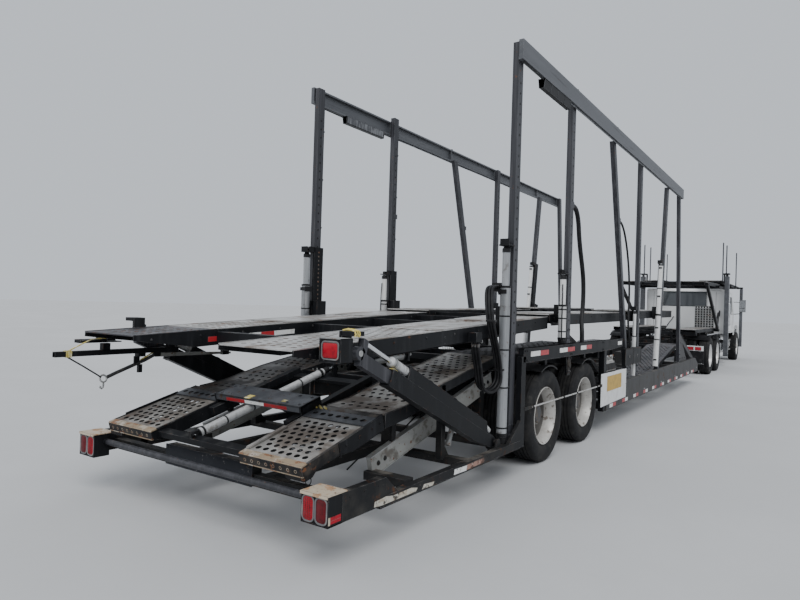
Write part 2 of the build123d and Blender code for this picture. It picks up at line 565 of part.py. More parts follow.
# outriggers for the cab, rack posts, tanks
for xb in (18230, 20100):
    frame_s += bx(xb, xb + 80, -1150, 1150, 700, 790)
for q in both(bx(22300, 22360, 439, 1172, 470, 560) + bx(22300, 22360, 395, 440, 470, 630)):
    frame_s += q
for xb in (18620, 20560):
    for q in both(bx(xb, xb + 80, 395, 440, 880, 960)):
        frame_s += q
save("tractor_frame", frame_s)
save("tail_panels", both(bx(13585, 13600, 620, 1268, 345, 655)))
ax = []
for xa in D_AXLES:
    a = ycyl(xa, D_R, 68, -665, 665) + ycyl(xa, D_R, 44, -930, 930) + Pos(xa, 0, D_R) * Sphere(200)
    a += bx(xa - 60, xa + 60, 395, 440, D_R, 620) + bx(xa - 60, xa + 60, -440, -395, D_R, 620)
    ax.append(a)
save("drive_axles", ax)
fa = bx(S_AXLE - 50, S_AXLE + 50, -700, 700, 330, 430)
fa += add(both(yz([(690, 330), (690, 430), (830, 519), (KING_Y, 519), (KING_Y, 421), (860, 421)], S_AXLE - 42, S_AXLE + 42)))
for q in both(zcyl(S_AXLE, KING_Y, 42, 421, 519) + zcyl(S_AXLE, KING_Y, 20, 352, 608)):
    fa += q
fa += bx(S_AXLE - 60, S_AXLE + 60, 395, 440, 425, 620) + bx(S_AXLE - 60, S_AXLE + 60, -440, -395, 425, 620)
save("front_axle", fa)
save("engine", bx(21110, 22200, -380, 380, 884, 1270) + bx(20520, 22100, -385, 385, 640, 885))
save("fuel_tanks", both(xcyl(850, 610, 290, 18700, 20050) + bx(18900, 18980, 440, 600, 560, 660) + bx(19760, 19840, 440, 600, 560, 660)))
save("front_bumper", xy([(22640, -1150), (22800, -1130), (22870, -900), (22870, 900), (22800, 1130), (22640, 1150), (22640, 1100),
                          (22770, 1080), (22822, 860), (22822, -860), (22770, -1080), (22640, -1100)], 380, 700)
     + bx(22621, 22830, -440, -395, 600, 690) + bx(22621, 22830, 395, 440, 600, 690))

# ---------------------------------------------------------------- cab
CY = 1120.0
cab_out = [(18450, 960), (18450, 2270), (18520, 2335), (20380, 2335), (20500, 2290), (21040, 1660), (21080, 1600), (21080, 960)]
cab_in = [(18500, 1010), (18500, 2250), (18540, 2285), (20365, 2285), (20465, 2250), (20990, 1640), (21030, 1585), (21030, 1010)]
cab = xz(cab_out, -CY, CY) - xz(cab_in, -(CY - 50), CY - 50)
DX0, DX1, DZ0, DZ1 = 19700.0, 20960.0, 1000.0, 2230.0
door_poly = [(DX0, DZ0), (DX0, DZ1), (20480, DZ1), (DX1, 1650), (DX1, DZ0)]
for sg in (1, -1):
    y0, y1 = (CY - 60, CY + 10) if sg > 0 else (-(CY + 10), -(CY - 60))
    cab -= xz(door_poly, y0, y1)
# windscreen and rear window openings
ws = [(20500 + 40, 2290 + 60), (20500 - 90, 2290 - 90), (21040 - 130, 1660 - 80), (21040 + 60, 1660 + 60)]
def lerp(a, b, t):
    return (a[0] + (b[0] - a[0]) * t, a[1] + (b[1] - a[1]) * t)
W0, W1 = (20500.0, 2290.0), (21040.0, 1660.0)
wa, wb = lerp(W0, W1, 0.07), lerp(W0, W1, 0.93)
wn = (630.0 / 830.0, 540.0 / 830.0)
cab -= xz([(wa[0] + wn[0] * 60, wa[1] + wn[1] * 60), (wa[0] - wn[0] * 90, wa[1] - wn[1] * 90),
           (wb[0] - wn[0] * 90, wb[1] - wn[1] * 90), (wb[0] + wn[0] * 60, wb[1] + wn[1] * 60)], -1000, 1000)
cab -= bx(18400, 18520, -620, 620, 1790, 2230)
save("cab_shell", cab)
glass = [xz([(wa[0] - wn[0] * 14 + 3, wa[1] - wn[1] * 14 - 3), (wa[0] - wn[0] * 22 + 3, wa[1] - wn[1] * 22 - 3),
             (wb[0] - wn[0] * 22 - 3, wb[1] - wn[1] * 22 + 3), (wb[0] - wn[0] * 14 - 3, wb[1] - wn[1] * 14 + 3)], -998, 998),
         bx(18462, 18470, -618, 618, 1792, 2228)]
save("cab_glass", glass)
g = 6.0
dp = [(DX0 + g, DZ0 + g), (DX0 + g, DZ1 - g), (20477, DZ1 - g), (DX1 - g, 1646), (DX1 - g, DZ0 + g)]
wp = [(DX0 + 110, 1580), (DX0 + 110, 2130), (20440, 2130), (20830, 1660), (20830, 1580)]
for sn, sg in SIDES:
    d = xz(dp, CY - 50, CY - 1) - xz(wp, CY - 60, CY + 10)
    d += xz(wp, CY - 28, CY - 22)
    dd = flip(d) if sg < 0 else d
    save("door_" + sn, dd)
mirs = both(bx(20975, 21015, CY, 1340, 1560, 1590) + bx(20975, 21015, 1310, 1340, 1560, 1660) + bx(20950, 21030, 1290, 1480, 1650, 2060))
save("mirrors", mirs)

# hood with its wings, one moulding that tips forward about its front foot
HP = [(21090, 1000), (21090, 1590), (22350, 1440), (22620, 1330), (22700, 1150), (22720, 720), (22300, 720), (22300, 1000)]
HI = [(21050, 900), (21050, 1552), (22340, 1402), (22590, 1300), (22660, 1140), (22672, 700), (22260, 700), (22260, 900)]
hood = xz(HP, -860, 860) - xz(HI, -820, 820)
WP = [(21090, 760), (21090, 1180), (21500, 1200), (22350, 1170), (22600, 1090), (22610, 720), (22100, 720), (22000, 760)]
WI = [(21050, 700), (21050, 1146), (21500, 1166), (22340, 1138), (22566, 1066), (22572, 650), (22000, 650)]
wing = xz(WP, 821, 1140) - xz(WI, 780, 1105) - ycyl(S_AXLE, D_R, 600, 780, 1200)
hood = hood + wing + flip(wing)
hood -= xz([(21200, 400), (22260, 400), (22260, 1060), (21200, 1060)], -900, 900)
save("hood", hood)
seats = []
for y in (-820, 320):
    s = bx(19760, 20240, y, y + 500, 1010, 1290) + bar((19800, 1290), (19680, 1980), 130, y, y + 500)
    seats.append(s)
seats.append(bx(20720, 20960, -1040, 1040, 1010, 1560))
seats.append(bx(18520, 19250, -1040, 1040, 1010, 1420))
save("cab_interior", seats)

# ---------------------------------------------------------------- rack over the cab
rk = both(bx(18190, 18370, 1150, 1270, 300, 2700))
rk = [q - (zcyl(18280, 1210 * s, 36, 700, 2750)) for q, s in zip(rk, (1, -1))]
rk += both(bx(22280, 22380, 1172, 1268, 430, 2470))
save("rack_posts", rk)
RKZ = 2480.0
rdk = both(trough(((17880, RKZ + 90), (22760, RKZ + 90)), 500, 1090, 10, 90, 8))
for x in (17960, 18800, 20200):
    rdk.append(bx(x, x + 80, -1130, 1130, RKZ, RKZ + 60))
rdk.append(bx(22290, 22370, -1268, 1268, RKZ, RKZ + 60))
rdk.append(bx(18180, 18380, -1275, 1275, 2760, 2800) - bx(18100, 18500, -1130, 1130, 2700, 2900))
rdk += both(bx(18380, 18420, 1100, 1140, RKZ + 10, 2800) + bx(18100, 18420, 1080, 1110, RKZ + 10, RKZ + 60) + bx(18240, 18420, 1100, 1275, 2760, 2800))
rdk += both(bx(21460, 21540, 1080, 1140, RKZ + 10, RKZ + 60))
save("cab_rack_deck", add(rdk))
ups = both(zcyl(18280, 1210, 33, 800, 2760))
for x in (17980, 18820, 21500):
    ups += both(zcyl(x, 1120, 17, RKZ + 60, 3700))
save("rack_uprights", ups)
# decks behind the cab
tr = both(trough(((14150, 1150), (18120, 1150)), 450, 1000, 12, 90, 8))
for x in (14250, 15700, 17300):
    tr.append(bx(x, x + 80, -1000, 1000, 1000, 1080))
    tr += both(bx(x, x + 80, 395, 440, 880, 1001))
save("tractor_lower_deck", add(tr))
tr = both(trough(((14900, 2400), (17800, 2440)), 500, 1060, 10, 90, 8))
for x in (15060, 17000):
    tr.append(bx(x, x + 80, -1130, 1130, 2300, 2370))
tr += both(bar((15090, 2330), (17380, 1110), 90, 1061, 1130))
tr += both(bx(17320, 17440, 1000, 1130, 1050, 1130))
tr += both(bx(17000, 18200, 1131, 1150, 2300, 2370) + bx(17000, 17080, 1120, 1150, 2300, 2370))
save("tractor_upper_deck", add(tr))

# ---------------------------------------------------------------- free hoses, right hand side
def route(dy, dx, dz, base):
    # dy shifts the whole route, dx and dz only its hanging part, growing towards the bottom
    n = len(base) - 1
    k = [sin(pi * (min(max(i, 1), n - 1) - 1) / (n - 2)) ** 2 for i in range(n + 1)]
    return [(x + dx * w, y + dy, z + dz * w) for (x, y, z), w in zip(base, k)]


P1_ROUTE = ((2452, -1106, 1735), (2365, -1106, 1735), (2285, -1122, 1700), (2232, -1146, 1622), (2208, -1168, 1515),
            (2212, -1186, 1390), (2262, -1196, 1250), (2322, -1199, 1118), (2357, -1199, 1000), (2364, -1198, 912),
            (2327, -1186, 848), (2260, -1164, 816), (2187, -1143, 826), (2132, -1134, 875), (2110, -1133, 962),
            (2085, -1133, 1050), (2052, -1133, 1130), (2034, -1133, 1190), (2034, -1133, 1250))
hose("p1_hose_inner", 26.0, route(28.0, 3.0, 10.0, P1_ROUTE))
hose("p1_hose_middle", 26.0, route(0.0, 0.0, 0.0, P1_ROUTE))
hose("p1_hose_outer", 26.0, route(-28.0, -6.0, -14.0, P1_ROUTE))
hose("p2_hose", 52.0, ((4140, -1205, 2720), (4235, -1205, 2720), (4322, -1206, 2660), (4375, -1207, 2560), (4400, -1208, 2430),
                       (4450, -1208, 2280), (4528, -1208, 2112), (4606, -1207, 1935), (4632, -1206, 1760), (4622, -1206, 1580),
                       (4572, -1214, 1470), (4510, -1234, 1375), (4468, -1256, 1275), (4468, -1256, 1175)))
hose("p3_hose", 28.0, ((6085, -1205, 2800), (6180, -1205, 2800), (6275, -1205, 2762), (6370, -1205, 2700), (6467, -1205, 2600),
                       (6550, -1205, 2480), (6622, -1205, 2350), (6680, -1205, 2210), (6728, -1205, 2050), (6757, -1206, 1870),
                       (6750, -1208, 1690), (6712, -1212, 1530), (6672, -1222, 1380), (6652, -1240, 1240), (6650, -1260, 1130),
                       (6650, -1260, 1020)))
print("done")
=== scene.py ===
import bpy
import math
import random
from math import sin, cos, pi, radians, hypot, atan2
from mathutils import Vector, Matrix


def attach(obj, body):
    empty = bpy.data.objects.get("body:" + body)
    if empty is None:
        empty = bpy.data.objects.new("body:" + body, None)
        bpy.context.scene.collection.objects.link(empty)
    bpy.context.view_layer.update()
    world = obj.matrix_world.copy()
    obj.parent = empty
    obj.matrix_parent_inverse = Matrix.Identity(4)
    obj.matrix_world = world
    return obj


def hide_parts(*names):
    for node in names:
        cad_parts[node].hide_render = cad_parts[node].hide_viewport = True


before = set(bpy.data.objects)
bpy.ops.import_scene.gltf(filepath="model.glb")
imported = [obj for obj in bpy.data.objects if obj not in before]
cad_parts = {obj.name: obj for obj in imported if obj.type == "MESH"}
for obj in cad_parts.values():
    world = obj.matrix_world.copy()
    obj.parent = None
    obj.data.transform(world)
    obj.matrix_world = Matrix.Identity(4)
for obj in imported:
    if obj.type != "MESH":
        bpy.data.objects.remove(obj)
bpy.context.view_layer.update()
random.seed(7)

# Stations below are millimetres measured forward from the rear face of the tail lamp boxes;
# the frame's origin is XC ahead of it. +X forward, +Y left, +Z up.
XC = 11265.0


# ------------------------------------------------------------------ mesh maker
class M:
    """Collects closed pieces of mesh in millimetres, then makes one object."""

    def __init__(self):
        self.v, self.f, self.m = [], [], []
        self.pl = None                      # separate collector for perforated plates, if set

    def add(self, verts, faces, mat=0):
        b = len(self.v)
        self.v += [tuple(p) for p in verts]
        self.f += [tuple(b + i for i in q) for q in faces]
        self.m += [mat] * len(faces)

    def bx(self, x0, x1, y0, y1, z0, z1, mat=0):
        v = [(x0, y0, z0), (x1, y0, z0), (x1, y1, z0), (x0, y1, z0), (x0, y0, z1), (x1, y0, z1), (x1, y1, z1), (x0, y1, z1)]
        self.add(v, [(3, 2, 1, 0), (4, 5, 6, 7), (0, 1, 5, 4), (1, 2, 6, 5), (2, 3, 7, 6), (3, 0, 4, 7)], mat)

    def loft(self, ring0, ring1, mat=0, caps=True):
        n = len(ring0)
        f = [(i, (i + 1) % n, n + (i + 1) % n, n + i) for i in range(n)]
        if caps:
            f += [tuple(range(n - 1, -1, -1)), tuple(range(n, 2 * n))]
        self.add(list(ring0) + list(ring1), f, mat)

    def xz(self, pts, y0, y1, mat=0):
        a = sum(p[0] * q[1] - q[0] * p[1] for p, q in zip(pts, pts[1:] + pts[:1]))
        if a > 0:
            pts = pts[::-1]
        self.loft([(x, y0, z) for x, z in pts], [(x, y1, z) for x, z in pts], mat)

    def xy(self, pts, z0, z1, mat=0):
        a = sum(p[0] * q[1] - q[0] * p[1] for p, q in zip(pts, pts[1:] + pts[:1]))
        if a < 0:
            pts = pts[::-1]
        self.loft([(x, y, z0) for x, y in pts], [(x, y, z1) for x, y in pts], mat)

    def yz(self, pts, x0, x1, mat=0):
        a = sum(p[0] * q[1] - q[0] * p[1] for p, q in zip(pts, pts[1:] + pts[:1]))
        if a < 0:
            pts = pts[::-1]
        self.loft([(x0, y, z) for y, z in pts], [(x1, y, z) for y, z in pts], mat)

    def bar(self, a, b, h, y0, y1, mat=0):
        dx, dz = b[0] - a[0], b[1] - a[1]
        n = hypot(dx, dz)
        px, pz = -dz / n * h / 2, dx / n * h / 2
        self.xz([(a[0] - px, a[1] - pz), (b[0] - px, b[1] - pz), (b[0] + px, b[1] + pz), (a[0] + px, a[1] + pz)], y0, y1, mat)

    def lathe(self, p, q, prof, n=24, mat=0, mats=None):
        """prof: (distance along p->q, radius); closed by discs at both ends."""
        p, q = Vector(p), Vector(q)
        w = (q - p).normalized()
        u = w.orthogonal().normalized()
        t = w.cross(u)
        v, f, mm = [], [], []
        for s, r in prof:
            c = p + w * s
            for i in range(n):
                a = 2 * pi * i / n
                v.append(tuple(c + (u * cos(a) + t * sin(a)) * r))
        for k in range(len(prof) - 1):
            for i in range(n):
                j = (i + 1) % n
                f.append((k * n + i, k * n + j, (k + 1) * n + j, (k + 1) * n + i))
                mm.append(mats[k] if mats else mat)
        f.append(tuple(range(n - 1, -1, -1)))
        mm.append(mats[0] if mats else mat)
        f.append(tuple((len(prof) - 1) * n + i for i in range(n)))
        mm.append(mats[-1] if mats else mat)
        b = len(self.v)
        self.v += v
        self.f += [tuple(b + i for i in q2) for q2 in f]
        self.m += mm

    def cyl(self, p, q, r, n=16, mat=0, ch=0.0):
        L = (Vector(q) - Vector(p)).length
        if ch:
            self.lathe(p, q, [(0, r - ch), (ch, r), (L - ch, r), (L, r - ch)], n, mat)
        else:
            self.lathe(p, q, [(0, r), (L, r)], n, mat)

    def ring(self, p, q, r0, r1, n=24, mat=0):
        """a tube with a wall between r0 and r1"""
        p, q = Vector(p), Vector(q)
        w = (q - p).normalized()
        u = w.orthogonal().normalized()
        t = w.cross(u)
        v, f = [], []
        for c, r in ((p, r0), (p, r1), (q, r1), (q, r0)):
            for i in range(n):
                a = 2 * pi * i / n
                v.append(tuple(c + (u * cos(a) + t * sin(a)) * r))
        for k in range(4):
            for i in range(n):
                j = (i + 1) % n
                f.append((k * n + i, k * n + j, ((k + 1) % 4) * n + j, ((k + 1) % 4) * n + i))
        self.add(v, f, mat)

    def tube(self, pts, r, n=10, mat=0, closed=False):
        pts = [Vector(p) for p in pts]
        m = len(pts)
        v, f = [], []
        up = None
        for i, p in enumerate(pts):
            if closed:
                d = (pts[(i + 1) % m] - pts[i - 1]).normalized()
            else:
                d = (pts[min(i + 1, m - 1)] - pts[max(i - 1, 0)]).normalized()
            if up is None:
                up = d.orthogonal().normalized()
            up = (up - d * up.dot(d)).normalized()
            t = d.cross(up)
            for k in range(n):
                a = 2 * pi * k / n
                v.append(tuple(p + (up * cos(a) + t * sin(a)) * r))
        last = m if closed else m - 1
        for i in range(last):
            i2 = (i + 1) % m
            for k in range(n):
                k2 = (k + 1) % n
                f.append((i * n + k, i * n + k2, i2 * n + k2, i2 * n + k))
        if not closed:
            f.append(tuple(range(n - 1, -1, -1)))
            f.append(tuple((m - 1) * n + k for k in range(n)))
        self.add(v, f, mat)

    def bolt(self, p, d, r=11, h=9, mat=0, washer=True):
        p, d = Vector(p), Vector(d).normalized()
        if washer:
            self.lathe(p, p + d, [(-1, r * 1.45), (3, r * 1.45), (3.2, r * 1.3)], 12, mat)
        self.lathe(p, p + d, [(-1, r), (h, r), (h + 1.5, r * .8)], 6, mat)

    def plate(self, A, B, y0, y1, t, r=20.0, pu=90.0, pv=78.0, mu=60.0, mv=45.0, n=8, mat=0, hmat=None, band=None):
        """closed plate with staggered round holes; A, B: (x, z) of its upper edge stations"""
        ax, az = A
        dx, dz = B[0] - A[0], B[1] - A[1]
        L = hypot(dx, dz)
        dx, dz = dx / L, dz / L
        W = y1 - y0
        rows = int((L - 2 * mu) / pu)
        if band:
            u_from, u_to = band
            rows = int((u_to - u_from) / pu)
            u0 = u_from + (u_to - u_from - rows * pu) / 2
        else:
            u0 = (L - rows * pu) / 2
        cols = int((W - 2 * mv) / pv)
        if self.pl is not None:
            self.pl.plate(A, B, y0, y1, t, r, pu, pv, mu, mv, n, mat, hmat, band)
            return
        if rows < 1 or cols < 2:
            self.xz([A, B, (B[0] + dz * t, B[1] - dx * t), (A[0] + dz * t, A[1] - dx * t)], y0, y1, mat)
            return
        v0 = (W - cols * pv) / 2
        pts, idx = [], {}

        def P(u, v, w):
            k = (round(u * 20), round(v * 20), w)
            if k not in idx:
                idx[k] = len(pts)
                pts.append((ax + dx * u + dz * w * t, y0 + v, az + dz * u - dx * w * t))
            return idx[k]

        faces, fm = [], []
        q = n // 4

        def face(loop, mt):
            top = [P(u, v, 0) for u, v in loop]
            bot = [P(u, v, 1) for u, v in loop]
            faces.append(tuple(top)); fm.append(mt)
            faces.append(tuple(bot[::-1])); fm.append(mt)

        lat = [v0 + k * pv / q for k in range(cols * q + 1)]
        if len(lat) == 0:
            return

        def border(a, b):
            return [v for v in lat if a - 0.01 <= v <= b + 0.01]

        for j in range(rows):
            ua, ub = u0 + j * pu, u0 + (j + 1) * pu
            odd = j % 2
            cs = v0 + (pv / 2 if odd else 0.0)
            nc = cols - odd
            for c in range(nc):
                va, vb = cs + c * pv, cs + (c + 1) * pv
                out = []
                for k in range(q):
                    out.append((ua + (ub - ua) * k / q, va))
                for k in range(q):
                    out.append((ub, va + (vb - va) * k / q))
                for k in range(q):
                    out.append((ub + (ua - ub) * k / q, vb))
                for k in range(q):
                    out.append((ua, vb + (va - vb) * k / q))
                uc, vc = (ua + ub) / 2, (va + vb) / 2
                hole = []
                for k in range(n):
                    a = -3 * pi / 4 - 2 * pi * k / n
                    hole.append((uc + r * cos(a), vc + r * sin(a)))
                # put the hole's points in the order of the outer ring
                o0 = atan2(out[0][1] - vc, out[0][0] - uc)
                hole = [(uc + r * cos(o0 - 2 * pi * k / n), vc + r * sin(o0 - 2 * pi * k / n)) for k in range(n)]
                o1 = atan2(out[1][1] - vc, out[1][0] - uc)
                sgn = -1 if sin(o1 - o0) < 0 else 1
                hole = [(uc + r * cos(o0 + sgn * 2 * pi * k / n), vc + r * sin(o0 + sgn * 2 * pi * k / n)) for k in range(n)]
                for k in range(n):
                    k2 = (k + 1) % n
                    loop = [out[k], out[k2], hole[k2], hole[k]]
                    face(loop[::-1], mat)
                    a0, a1 = P(*hole[k], 0), P(*hole[k2], 0)
                    b1, b0 = P(*hole[k2], 1), P(*hole[k], 1)
                    faces.append((a1, a0, b0, b1)[::-1]); fm.append(hmat if hmat is not None else mat)
            # solid margins beside the row's cells
            side = [ua + (ub - ua) * k / q for k in range(1, q)]
            lo = [(ua, v) for v in [0.0] + border(0, cs)] + [(u, cs) for u in side] + [(ub, v) for v in ([0.0] + border(0, cs))[::-1]]
            hi0 = cs + nc * pv
            hi = [(ub, v) for v in ([v for v in border(hi0, W)] + [W])] + []
            hi = [(ua, v) for v in ([v for v in border(hi0, W)] + [W])[::-1]] + [(u, hi0) for u in side] + [(ub, v) for v in (border(hi0, W) + [W])]
            face(lo, mat)
            face(hi, mat)
        ue = u0 + rows * pu
        ends = [0.0] + lat + [W]
        face([(0.0, 0.0), (0.0, W)] + [(u0, v) for v in ends[::-1]], mat)
        face([(ue, v) for v in ends] + [(L, W), (L, 0.0)], mat)
        # edge walls
        us = [0.0] + [u0 + j * pu for j in range(rows + 1)] + [L]
        for a, b in zip(us, us[1:]):
            faces.append((P(a, 0.0, 0), P(b, 0.0, 0), P(b, 0.0, 1), P(a, 0.0, 1))[::-1]); fm.append(mat)
            faces.append((P(a, W, 0), P(b, W, 0), P(b, W, 1), P(a, W, 1))); fm.append(mat)
        faces.append((P(0.0, 0.0, 0), P(0.0, 0.0, 1), P(0.0, W, 1), P(0.0, W, 0))[::-1]); fm.append(mat)
        faces.append((P(L, 0.0, 0), P(L, 0.0, 1), P(L, W, 1), P(L, W, 0))); fm.append(mat)
        b = len(self.v)
        self.v += pts
        self.f += [tuple(b + i for i in f) for f in faces]
        self.m += fm

    def both(self, start):
        """mirrors everything added since index pair start=(verts, faces) to the other side"""
        vs, fs = start[:2]
        if self.pl is not None and start[2] is not None:
            self.pl.both(start[2])
        nv = self.v[vs:]
        b = len(self.v)
        self.v += [(x, -y, z) for x, y, z in nv]
        for f, m in list(zip(self.f[fs:], self.m[fs:])):
            self.f.append(tuple(b + (i - vs) for i in f[::-1]))
            self.m.append(m)

    def here(self):
        return (len(self.v), len(self.f), self.pl.here() if self.pl is not None else None)

    def build(self, name, body, mats, slot, replaces=(), bevel=0.0, edge=None, smooth=38, seg=2):
        me = bpy.data.meshes.new(name)
        me.from_pydata([((x - XC) / 1000, y / 1000, z / 1000) for x, y, z in self.v], [], self.f)
        for m in mats:
            me.materials.append(m)
        if edge is not None:
            me.materials.append(edge)
        for p, k in zip(me.polygons, self.m):
            p.material_index = k
            p.use_smooth = True
        me.validate()
        fix_normals(me)
        me.set_sharp_from_angle(angle=radians(smooth))
        o = bpy.data.objects.new(name, me)
        bpy.context.scene.collection.objects.link(o)
        if bevel:
            b = o.modifiers.new("bevel", "BEVEL")
            b.width = bevel / 1000
            b.segments = seg
            b.limit_method = "ANGLE"
            b.angle_limit = radians(50)
            b.harden_normals = False
            if edge is not None:
                b.material = len(mats)
        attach(o, body)
        if replaces:
            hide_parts(*replaces)
        if self.pl is not None:
            self.pl.build(name + "_plates", body, mats, slot, smooth=30)
        return o


def fix_normals(me):
    import bmesh
    bm = bmesh.new()
    bm.from_mesh(me)
    bmesh.ops.recalc_face_normals(bm, faces=bm.faces)
    bm.to_mesh(me)
    bm.free()


# ------------------------------------------------------------------ materials
class Mat:
    def __init__(self, name, color, rough=0.5, metal=0.0, bump=0.0, bump_scale=60.0, coat=0.0, layers=(), spec=None):
        self.m = bpy.data.materials.new(name)
        self.m.use_nodes = True
        nt = self.nt = self.m.node_tree
        self.b = nt.nodes["Principled BSDF"]
        self.co = nt.nodes.new("ShaderNodeTexCoord")
        self.b.inputs["Base Color"].default_value = (*color, 1)
        self.b.inputs["Roughness"].default_value = rough
        self.b.inputs["Metallic"].default_value = metal
        if coat:
            self.b.inputs["Coat Weight"].default_value = coat
            self.b.inputs["Coat Roughness"].default_value = 0.08
        if spec is not None:
            self.b.inputs["Specular IOR Level"].default_value = spec
        cur = {"Base Color": None, "Roughness": None, "Metallic": None}
        base = {"Base Color": (*color, 1), "Roughness": rough, "Metallic": metal}
        hts = []
        for L in layers:
            mask = self.mask(L)
            for key, val in (("Base Color", L.get("color")), ("Roughness", L.get("rough")), ("Metallic", L.get("metal"))):
                if val is None:
                    continue
                mx = nt.nodes.new("ShaderNodeMix")
                if key == "Base Color":
                    mx.data_type = "RGBA"
                    a, b2, out = mx.inputs[6], mx.inputs[7], mx.outputs[2]
                    b2.default_value = (*val, 1)
                else:
                    mx.data_type = "FLOAT"
                    a, b2, out = mx.inputs[2], mx.inputs[3], mx.outputs[0]
                    b2.default_value = val
                if cur[key] is None:
                    a.default_value = base[key]
                else:
                    nt.links.new(cur[key], a)
                nt.links.new(mask, mx.inputs[0])
                cur[key] = out
            if L.get("bump"):
                hts.append((mask, L["bump"]))
        for key, out in cur.items():
            if out is not None:
                nt.links.new(out, self.b.inputs[key])
        nrm = None
        if bump:
            n = self.noise(bump_scale, 6, 0.6)
            bn = nt.nodes.new("ShaderNodeBump")
            bn.inputs["Strength"].default_value = bump
            bn.inputs["Distance"].default_value = 0.004
            nt.links.new(n, bn.inputs["Height"])
            nrm = bn.outputs[0]
        for mask, amt in hts:
            bn = nt.nodes.new("ShaderNodeBump")
            bn.inputs["Strength"].default_value = abs(amt)
            bn.invert = amt < 0
            bn.inputs["Distance"].default_value = 0.003
            nt.links.new(mask, bn.inputs["Height"])
            if nrm:
                nt.links.new(nrm, bn.inputs["Normal"])
            nrm = bn.outputs[0]
        if nrm:
            nt.links.new(nrm, self.b.inputs["Normal"])

    def noise(self, scale, detail=5, rough=0.6, stretch=None, w=0.0, kind="noise", dist=0.0):
        nt = self.nt
        src = self.co.outputs["Object"]
        if stretch or w:
            mp = nt.nodes.new("ShaderNodeMapping")
            if stretch:
                mp.inputs["Scale"].default_value = stretch
            mp.inputs["Location"].default_value = (w, w * 0.7, w * 1.3)
            nt.links.new(src, mp.inputs["Vector"])
            src = mp.outputs[0]
        if kind == "voronoi":
            n = nt.nodes.new("ShaderNodeTexVoronoi")
            n.inputs["Scale"].default_value = scale
            nt.links.new(src, n.inputs["Vector"])
            return n.outputs["Distance"]
        if kind == "wave":
            n = nt.nodes.new("ShaderNodeTexWave")
            n.inputs["Scale"].default_value = scale
            n.inputs["Distortion"].default_value = dist
            nt.links.new(src, n.inputs["Vector"])
            return n.outputs["Fac"]
        n = nt.nodes.new("ShaderNodeTexNoise")
        n.inputs["Scale"].default_value = scale
        n.inputs["Detail"].default_value = detail
        n.inputs["Roughness"].default_value = rough
        n.inputs["Distortion"].default_value = dist
        nt.links.new(src, n.inputs["Vector"])
        return n.outputs["Fac"]

    def ramp(self, src, lo, hi, a=0.0, b=1.0):
        r = self.nt.nodes.new("ShaderNodeMapRange")
        r.interpolation_type = "SMOOTHSTEP"
        r.inputs["From Min"].default_value = lo
        r.inputs["From Max"].default_value = hi
        r.inputs["To Min"].default_value = a
        r.inputs["To Max"].default_value = b
        self.nt.links.new(src, r.inputs["Value"])
        return r.outputs["Result"]

    def mul(self, a, b):
        m = self.nt.nodes.new("ShaderNodeMath")
        m.operation = "MULTIPLY"
        self.nt.links.new(a, m.inputs[0])
        self.nt.links.new(b, m.inputs[1])
        return m.outputs[0]

    def mask(self, L):
        nt = self.nt
        out = self.ramp(self.noise(L.get("scale", 5.0), L.get("detail", 5), L.get("nrough", 0.6), L.get("stretch"), L.get("w", 0.0),
                                   L.get("kind", "noise"), L.get("dist", 0.0)), L.get("lo", 0.5), L.get("hi", 0.6), 0.0, L.get("amount", 1.0))
        if L.get("up") is not None:
            g = nt.nodes.new("ShaderNodeNewGeometry")
            s = nt.nodes.new("ShaderNodeSeparateXYZ")
            nt.links.new(g.outputs["Normal"], s.inputs[0])
            out = self.mul(out, self.ramp(s.outputs["Z"], L["up"], min(L["up"] + 0.4, 1.0)))
        if L.get("z") is not None:
            s = nt.nodes.new("ShaderNodeSeparateXYZ")
            nt.links.new(self.co.outputs["Object"], s.inputs[0])
            z0, z1 = L["z"]
            out = self.mul(out, self.ramp(s.outputs["Z"], z0, z1, 1.0, 0.0) if z0 < z1 else self.ramp(s.outputs["Z"], z1, z0))
        if L.get("also") is not None:
            A = L["also"]
            out = self.mul(out, self.ramp(self.noise(A.get("scale", 1.0), 4, 0.6, A.get("stretch"), A.get("w", 3.0)), A.get("lo", 0.4), A.get("hi", 0.6)))
        return out


RUST = (0.16, 0.07, 0.035)
RUST2 = (0.30, 0.15, 0.075)
DUST = (0.33, 0.31, 0.28)

black = Mat("worn_black_paint", (0.0060, 0.0064, 0.0076), 0.44, 0.0, bump=0.10, bump_scale=90, spec=.16, layers=(
    dict(scale=3.0, lo=.35, hi=.75, color=(0.012, 0.013, 0.015), rough=.58),
    dict(scale=7.0, lo=.50, hi=.80, color=(.16, .155, .145), rough=.8, amount=.30, up=.62),
    dict(scale=2.2, stretch=(6, 6, .6), lo=.52, hi=.72, color=(0.027, 0.028, 0.031), rough=.62, amount=.7),
    dict(scale=14, lo=.64, hi=.70, color=(.10, .045, .024), rough=.85, amount=.75, also=dict(scale=1.6, lo=.5, hi=.62)),
    dict(scale=60, lo=.67, hi=.71, color=(.24, .235, .23), rough=.5, amount=.5, also=dict(scale=2.5, lo=.52, hi=.6, w=9)),
)).m
sill_grey = Mat("dusty_sill_paint", (0.034, 0.034, 0.035), 0.5, 0.0, bump=0.12, bump_scale=70, spec=.25, layers=(
    dict(scale=3.0, lo=.38, hi=.72, color=(0.060, 0.060, 0.060), rough=.6),
    dict(scale=5.0, lo=.44, hi=.74, color=(.095, .090, .082), rough=.85, amount=.6, z=(.25, .75)),
    dict(scale=2.0, stretch=(5, 5, .5), lo=.52, hi=.70, color=(0.018, 0.018, 0.019), rough=.6, amount=.6),
    dict(scale=12, lo=.60, hi=.68, color=(.10, .046, .025), rough=.9, amount=.8, also=dict(scale=1.8, lo=.48, hi=.6)),
    dict(scale=7.0, lo=.44, hi=.74, color=(.21, .19, .165), rough=.85, amount=.6, up=.55),
)).m
